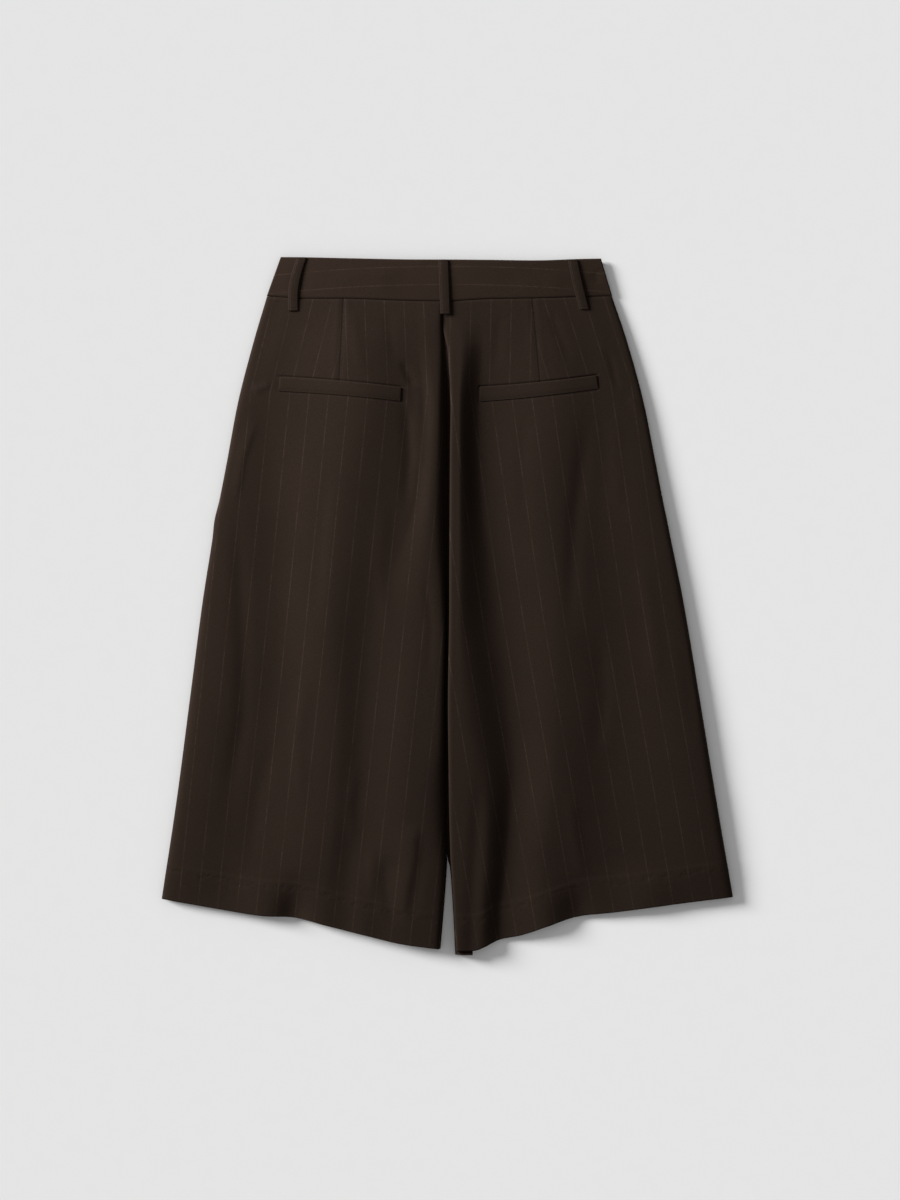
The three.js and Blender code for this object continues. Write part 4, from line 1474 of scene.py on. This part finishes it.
class Graph:
    """A material's node tree with short ways to add nodes."""

    def __init__(self, name: str) -> None:
        """Makes a material with an empty tree and a Principled shader.

        Args:
            name: the material's name.
        """
        self.material = bpy.data.materials.new(name)
        self.material.use_nodes = True
        self.tree = self.material.node_tree
        self.tree.nodes.clear()
        output = self.tree.nodes.new("ShaderNodeOutputMaterial")
        self.shader = self.tree.nodes.new("ShaderNodeBsdfPrincipled")
        self.tree.links.new(self.shader.outputs["BSDF"], output.inputs["Surface"])

    def put(self, socket: Socket, value: object) -> None:
        """Fills a socket.

        Args:
            socket: the input to fill.
            value: another socket to link it to, or its value.
        """
        if isinstance(value, bpy.types.NodeSocket):
            self.tree.links.new(value, socket)
        else:
            socket.default_value = value

    def fill(self, node: bpy.types.Node, values: tuple[object, ...]) -> Socket:
        """Fills a node's inputs in order.

        Args:
            node: the node.
            values: sockets or numbers for its first inputs.

        Returns:
            The node's first output.
        """
        for socket, value in zip(node.inputs, values):
            self.put(socket, value)
        return node.outputs[0]

    def maths(self, operation: str, *values: object) -> Socket:
        """Adds a maths node.

        Args:
            operation: what it does.
            values: one or two sockets or numbers.

        Returns:
            The result.
        """
        node = self.tree.nodes.new("ShaderNodeMath")
        node.operation = operation
        return self.fill(node, values)

    def times(self, a: object, b: object) -> Socket:
        """Multiplies two numbers."""
        return self.maths("MULTIPLY", a, b)

    def plus(self, a: object, b: object) -> Socket:
        """Adds two numbers."""
        return self.maths("ADD", a, b)

    def minus(self, a: object, b: object) -> Socket:
        """Subtracts the second number from the first."""
        return self.maths("SUBTRACT", a, b)

    def ramp(self, value: object, low: float, high: float, start: float, end: float) -> Socket:
        """Maps one span of numbers to another with soft ends.

        Args:
            value: what is mapped.
            low: the value that gives start.
            high: the value that gives end.
            start: the result at and below low.
            end: the result at and above high.

        Returns:
            The result.
        """
        node = self.tree.nodes.new("ShaderNodeMapRange")
        node.interpolation_type = "SMOOTHSTEP"
        return self.fill(node, (value, low, high, start, end))

    def noise(self, vector: object, scale: float, detail: float = 2.0) -> Socket:
        """Adds a noise texture.

        Args:
            vector: where it is read.
            scale: how many of its bumps there are to a unit.
            detail: how many finer layers it has.

        Returns:
            The noise, mostly near 0.5.
        """
        node = self.tree.nodes.new("ShaderNodeTexNoise")
        self.put(node.inputs["Vector"], vector)
        node.inputs["Scale"].default_value = scale
        node.inputs["Detail"].default_value = detail
        return node.outputs["Fac"]

    def streaks(self, a: Socket, b: Socket, scales: Point, seed: float, detail: float) -> Socket:
        """Adds noise that is stretched differently in two directions.

        Args:
            a: the place in the first direction.
            b: the place in the second direction.
            scales: how many bumps there are to a unit of each.
            seed: a number that sets it apart from other noise.
            detail: how many finer layers it has.

        Returns:
            The noise, mostly near 0.5.
        """
        node = self.tree.nodes.new("ShaderNodeCombineXYZ")
        vector = self.fill(node, (self.times(a, scales[0]), self.times(b, scales[1]), seed))
        return self.noise(vector, 1.0, detail)

    def mixed(self, share: object, a: object, b: object) -> Socket:
        """Mixes two colours.

        Args:
            share: how much of the second colour there is.
            a: the first colour.
            b: the second colour.

        Returns:
            The colour between them.
        """
        node = self.tree.nodes.new("ShaderNodeMix")
        node.data_type = "RGBA"
        self.put(node.inputs["Factor"], share)
        self.put(node.inputs[6], a)
        self.put(node.inputs[7], b)
        return node.outputs[2]

    def scaled(self, colour: object, amount: object) -> Socket:
        """Multiplies a colour by a number.

        Args:
            colour: a socket or a colour.
            amount: the number.

        Returns:
            The lighter or darker colour.
        """
        node = self.tree.nodes.new("ShaderNodeVectorMath")
        node.operation = "SCALE"
        self.put(node.inputs[0], colour[:3] if isinstance(colour, tuple) else colour)
        self.put(node.inputs["Scale"], amount)
        return node.outputs[0]

    def cloth_place(self) -> tuple[Socket, Socket]:
        """Reads the cloth's own coordinates.

        Returns:
            Stripes across, and steps of ALONG_STEP along.
        """
        node = self.tree.nodes.new("ShaderNodeUVMap")
        node.uv_map = "cloth"
        parts = self.tree.nodes.new("ShaderNodeSeparateXYZ")
        self.tree.links.new(node.outputs[0], parts.inputs[0])
        return parts.outputs[0], parts.outputs[1]

    def object_place(self) -> Socket:
        """The object's own coordinates, in metres."""
        return self.tree.nodes.new("ShaderNodeTexCoord").outputs["Object"]

    def attribute(self, name: str) -> Socket:
        """Reads a number kept on the mesh.

        Args:
            name: the attribute's name.

        Returns:
            The number.
        """
        node = self.tree.nodes.new("ShaderNodeAttribute")
        node.attribute_name = name
        return node.outputs["Fac"]

    def bump(self, height: object, distance: float, strength: float) -> None:
        """Bumps the shader by a height.

        Args:
            height: the height.
            distance: what one unit of it stands for, in metres.
            strength: how much of the bump shows.
        """
        node = self.tree.nodes.new("ShaderNodeBump")
        node.inputs["Strength"].default_value = strength
        node.inputs["Distance"].default_value = distance
        self.put(node.inputs["Height"], height)
        self.put(self.shader.inputs["Normal"], node.outputs[0])

    def set(self, **values: object) -> None:
        """Fills the shader's own sockets, named with underscores for spaces."""
        for name, value in values.items():
            self.put(self.shader.inputs[name.replace("_", " ")], value)


@dataclass(frozen=True)
class Suiting:
    """Dark brown worsted twill with fine broken pinstripes.

    The bump adds the twill, fine and hem_stitch heights, and takes off seam_depth at a dart, where the
    colour is also darkened as painted shade.
    """

    name: str = "suiting"
    # a brightness factor on the whole copy: painted light above 1 and painted shade below 1
    painted_light: float = 1.0
    ground: Colour = (0.0203, 0.0121, 0.0080, 1)
    stripe: Colour = (0.0355, 0.0225, 0.0165, 1)
    sheen: Colour = (1.0, 0.75, 0.6, 1)
    stripe_width: float = 0.036
    twill_pitch: float = 0.055
    stitch_height: float = 30.0
    # how dark the colour is along a dart's seam: painted shade in its ditch
    dart_painted_shade: float = 0.58
    twill: float = 0.4
    fine: float = 1.2
    hem_stitch: float = 3.2
    seam_depth: float = 2.5
    bump_distance: float = 0.00012

    def pinstripe(self, g: Graph, across: Socket, along: Socket) -> Socket:
        """Draws the stripes, fine and broken.

        Args:
            g: the node tree.
            across: stripes across the cloth.
            along: steps along the cloth.

        Returns:
            1 on a stripe and 0 between stripes.
        """
        shifted = g.plus(across, 0.5)
        middle = g.maths("ABSOLUTE", g.minus(g.maths("FRACT", shifted), 0.5))
        line = g.ramp(middle, self.stripe_width * 0.4, self.stripe_width, 1.0, 0.0)
        number = g.maths("FLOOR", shifted)
        patchy = g.ramp(g.streaks(number, along, (7.3, 0.9), 0.0, 3.0), 0.34, 0.6, 0.3, 1.0)
        dashes = g.ramp(g.streaks(number, along, (3.1, 7.0), 4.0, 1.0), 0.38, 0.5, 0.45, 1.0)
        return g.times(line, g.times(patchy, dashes))

    def puckers(self, g: Graph, place: Socket) -> Socket:
        """Makes the small uneven dimples where the turned-up hem is stitched to the panel.

        Args:
            g: the node tree.
            place: the object's own coordinates.

        Returns:
            A height of -1 in a dimple and 0 elsewhere.
        """
        wander = g.times(g.minus(g.noise(place, 22.0, 1.0), 0.5), 8.0)
        off = g.minus(g.plus(g.attribute("above_hem"), wander), self.stitch_height)
        near = g.ramp(g.maths("ABSOLUTE", off), 0.5, 5.5, 1.0, 0.0)
        return g.times(near, g.ramp(g.noise(place, 120.0, 2.0), 0.4, 0.66, 0.0, -1.0))

    def build(self) -> Material:
        """Makes the material.

        Returns:
            The material.
        """
        g = Graph(self.name)
        across, along = g.cloth_place()
        place = g.object_place()
        fine, broad = g.noise(place, 900.0, 2.0), g.noise(place, 14.0, 3.0)
        slub = g.streaks(across, along, (60.0, 4.0), 2.0, 2.0)
        seam = g.ramp(g.maths("ABSOLUTE", g.attribute("from_dart")), 0.25, 1.2, 1.0, 0.0)
        shade = g.times(g.ramp(broad, 0.3, 0.7, 0.96, 1.04), g.ramp(slub, 0.3, 0.7, 0.92, 1.08))
        shade = g.times(g.ramp(fine, 0.25, 0.75, 0.84 * self.painted_light, 1.16 * self.painted_light), shade)
        # painted shade: the colour is darkened along the dart's seam, where its ditch lies in shade
        shade = g.times(shade, g.ramp(seam, 0.0, 1.0, 1.0, self.dart_painted_shade))
        # on fold edges the ground is painted lighter towards the stripe colour, as wear and as a
        # painted highlight
        ground = g.mixed(g.times(g.attribute("wear_highlight_teeth_mask"), 0.5), self.ground, self.stripe)
        colour = g.mixed(self.pinstripe(g, across, along), ground, self.stripe)
        diagonal = g.plus(*(g.maths("DIVIDE", part, self.twill_pitch) for part in (across, along)))
        twill = g.times(g.maths("SINE", g.times(diagonal, 2 * math.pi)), self.twill)
        height = g.plus(twill, g.times(fine, self.fine))
        height = g.plus(height, g.times(self.puckers(g, place), self.hem_stitch))
        g.bump(g.minus(height, g.times(seam, self.seam_depth)), self.bump_distance, 0.6)
        g.set(Base_Color=g.scaled(colour, shade), Roughness=g.ramp(slub, 0.2, 0.8, 0.78, 0.92))
        g.set(Specular_IOR_Level=0.10, Sheen_Weight=0.02, Sheen_Roughness=0.5, Sheen_Tint=self.sheen)
        return g.material


@dataclass(frozen=True)
class ZipTape:
    """Matte woven tape with dark teeth."""

    tape: Colour = (0.018, 0.014, 0.011, 1)
    teeth: Colour = (0.05, 0.045, 0.04, 1)
    ribs: float = 180.0

    def build(self) -> Material:
        """Makes the material.

        Returns:
            The material.
        """
        g = Graph("zip_tape")
        weave = g.times(*(g.maths("SINE", g.times(part, self.ribs)) for part in g.cloth_place()))
        colour = g.mixed(g.attribute("wear_highlight_teeth_mask"), self.tape, self.teeth)
        g.bump(weave, 0.0001, 0.4)
        g.set(Base_Color=g.scaled(colour, g.ramp(weave, -1, 1, 0.85, 1.15)))
        g.set(Roughness=0.75, Specular_IOR_Level=0.25)
        return g.material


@dataclass(frozen=True)
class Nickel:
    """Satin nickel plate with faint brushing."""

    colour: Colour = (0.55, 0.55, 0.56, 1)
    brushing: float = 1200.0

    def build(self) -> Material:
        """Makes the material.

        Returns:
            The material.
        """
        g = Graph("hook_metal")
        brushed = g.noise(g.object_place(), self.brushing)
        g.bump(brushed, 0.00005, 0.2)
        g.set(Base_Color=g.scaled(self.colour, g.ramp(brushed, 0.3, 0.7, 0.9, 1.1)))
        g.set(Roughness=g.ramp(brushed, 0.3, 0.7, 0.3, 0.42), Metallic=1.0)
        return g.material


@dataclass(frozen=True)
class Backdrop:
    """Plain pale paper."""

    colour: Colour = (0.82, 0.82, 0.82, 1)
    grain: float = 60.0

    def build(self) -> Material:
        """Makes the material.

        Returns:
            The material.
        """
        g = Graph("backdrop")
        grain = g.ramp(g.noise(g.object_place(), self.grain), 0.2, 0.8, 0.995, 1.005)
        g.set(Base_Color=g.scaled(self.colour, grain), Roughness=0.9, Specular_IOR_Level=0.1)
        return g.material


@dataclass
class Studio:
    """The pale floor, the soft light from the left, and the camera straight above.

    The soft lamp lights the cloth and falls off across it. An even light of the same side lights
    the floor, so that the floor stays plain. Lengths are in metres and angles in degrees.
    """

    floor_size: float = 12.0
    floor_drop: float = 0.0004
    lamp_place: tuple[float, float, float] = (-1.6, 0.95, 0.75)
    lamp_size: float = 1.0
    lamp_power: float = 82.5
    sun_elevation: float = 20.0
    sun_azimuth: float = 157.0
    sun_strength: float = 5.35
    sun_angle: float = 19.0
    sky: float = 0.19
    fill_strength: float = 0.56
    fill_angle: float = 150.0
    sensor: float = 36.0
    camera_height: float = 4.0
    view_centre: Point = (0.002, 0.006)
    view_height: float = 1.2
    view_depth: float = 50.0

    def floor(self) -> Piece:
        """Makes the surface that the shorts lie on.

        Returns:
            The floor.
        """
        half = self.floor_size / 2
        corners = [(-half, -half), (half, -half), (half, half), (-half, half)]
        mesh = bpy.data.meshes.new("floor")
        mesh.from_pydata([(x, y, -self.floor_drop) for x, y in corners], [], [(0, 1, 2, 3)])
        made = bpy.data.objects.new("floor", mesh)
        bpy.context.scene.collection.objects.link(made)
        made.data.materials.append(Backdrop().build())
        return made

    def lights(self, floor: Piece, pieces: list[Piece]) -> None:
        """Adds the lamp for the pieces, the sun and the fill for the floor, and the even sky.

        Args:
            floor: what the sun and the fill light.
            pieces: what the lamp lights.
        """
        lamp = bpy.data.lights.new("lamp", "AREA")
        lamp.shape = "DISK"
        lamp.size = self.lamp_size
        lamp.energy = self.lamp_power
        hung = self.add_light(lamp, pieces)
        hung.location = self.lamp_place
        x, y, z = self.lamp_place
        hung.rotation_euler = (0, math.atan2(math.hypot(x, y), z), math.atan2(y, x))
        tilt, azimuth = math.radians(90 - self.sun_elevation), math.radians(self.sun_azimuth)
        for name, strength, angle, aim in (
            ("sun", self.sun_strength, self.sun_angle, (0, tilt, azimuth)),
            ("fill", self.fill_strength, self.fill_angle, (0, 0, 0)),
        ):
            light = bpy.data.lights.new(name, "SUN")
            light.energy, light.angle = strength, math.radians(angle)
            self.add_light(light, [floor]).rotation_euler = aim
        world = bpy.context.scene.world or bpy.data.worlds.new("studio")
        bpy.context.scene.world = world
        world.use_nodes = True
        nodes = world.node_tree.nodes
        sky = nodes.get("Background") or nodes.new("ShaderNodeBackground")
        sky.inputs["Color"].default_value = (1.0, 1.0, 1.0, 1)
        sky.inputs["Strength"].default_value = self.sky

    def add_light(self, light: bpy.types.Light, lit: list[Piece]) -> Piece:
        """Adds a light that shines on the given objects only.

        Args:
            light: the light.
            lit: what it lights.

        Returns:
            The light's object.
        """
        made = bpy.data.objects.new(light.name, light)
        bpy.context.scene.collection.objects.link(made)
        receivers = bpy.data.collections.new(f"lit_by_{light.name}")
        for target in lit:
            receivers.objects.link(target)
        made.light_linking.receiver_collection = receivers
        return made

    def camera(self) -> None:
        """Adds the camera, which sees the photograph's frame."""
        data = bpy.data.cameras.new("camera")
        data.sensor_width = self.sensor
        data.lens = data.sensor_width * self.camera_height / self.view_height
        data.clip_end = self.view_depth
        made = bpy.data.objects.new("camera", data)
        made.location = (*self.view_centre, self.camera_height)
        bpy.context.scene.collection.objects.link(made)
        bpy.context.scene.camera = made

    def build(self, pieces: list[Piece]) -> None:
        """Makes all of it round the pieces, and shows colours as they are.

        Args:
            pieces: the parts of the shorts.
        """
        self.lights(self.floor(), pieces)
        self.camera()
        bpy.context.scene.view_settings.view_transform = "Standard"


def main() -> None:
    """Builds the studio and every piece in order."""
    logging.basicConfig(level=logging.INFO, format="%(message)s")
    suiting, tape, nickel = Suiting().build(), ZipTape().build(), Nickel().build()
    # the waistband's copy of the suiting is painted lighter, as painted light
    band_painted_light = Suiting("suiting_band_painted_light", painted_light=1.22).build()
    # the belt loops' copy of the suiting is painted darker, as painted shade
    loop_painted_shade = Suiting("suiting_loop_painted_shade", painted_light=0.94).build()
    made = []
    for leg in Leg:
        made.append(FrontPanel(leg).build(suiting))
        made.append(FrontLoop(leg).build(suiting))
    made.append(FlyZip().build(tape))
    made.append(WaistHook().build(nickel))
    for leg in Leg:
        made.append(BackPanel(leg).build(suiting))
        made.append(Welt(leg).build(suiting))
    made.extend(Waistband().build(band_painted_light))
    for loop in (
        BeltLoop("belt_loop_left", -146.0, -154.5, -3.4),
        BeltLoop("belt_loop_centre", -4.8, -3.0, 0.2),
        BeltLoop("belt_loop_right", 124.2, 136.0, -0.6),
    ):
        made.append(loop.build(loop_painted_shade))
    Studio().build(made)
    for piece in made:
        log.info("%s: %d faces", piece.name, len(piece.data.polygons))


if __name__ == "__main__":
    main()
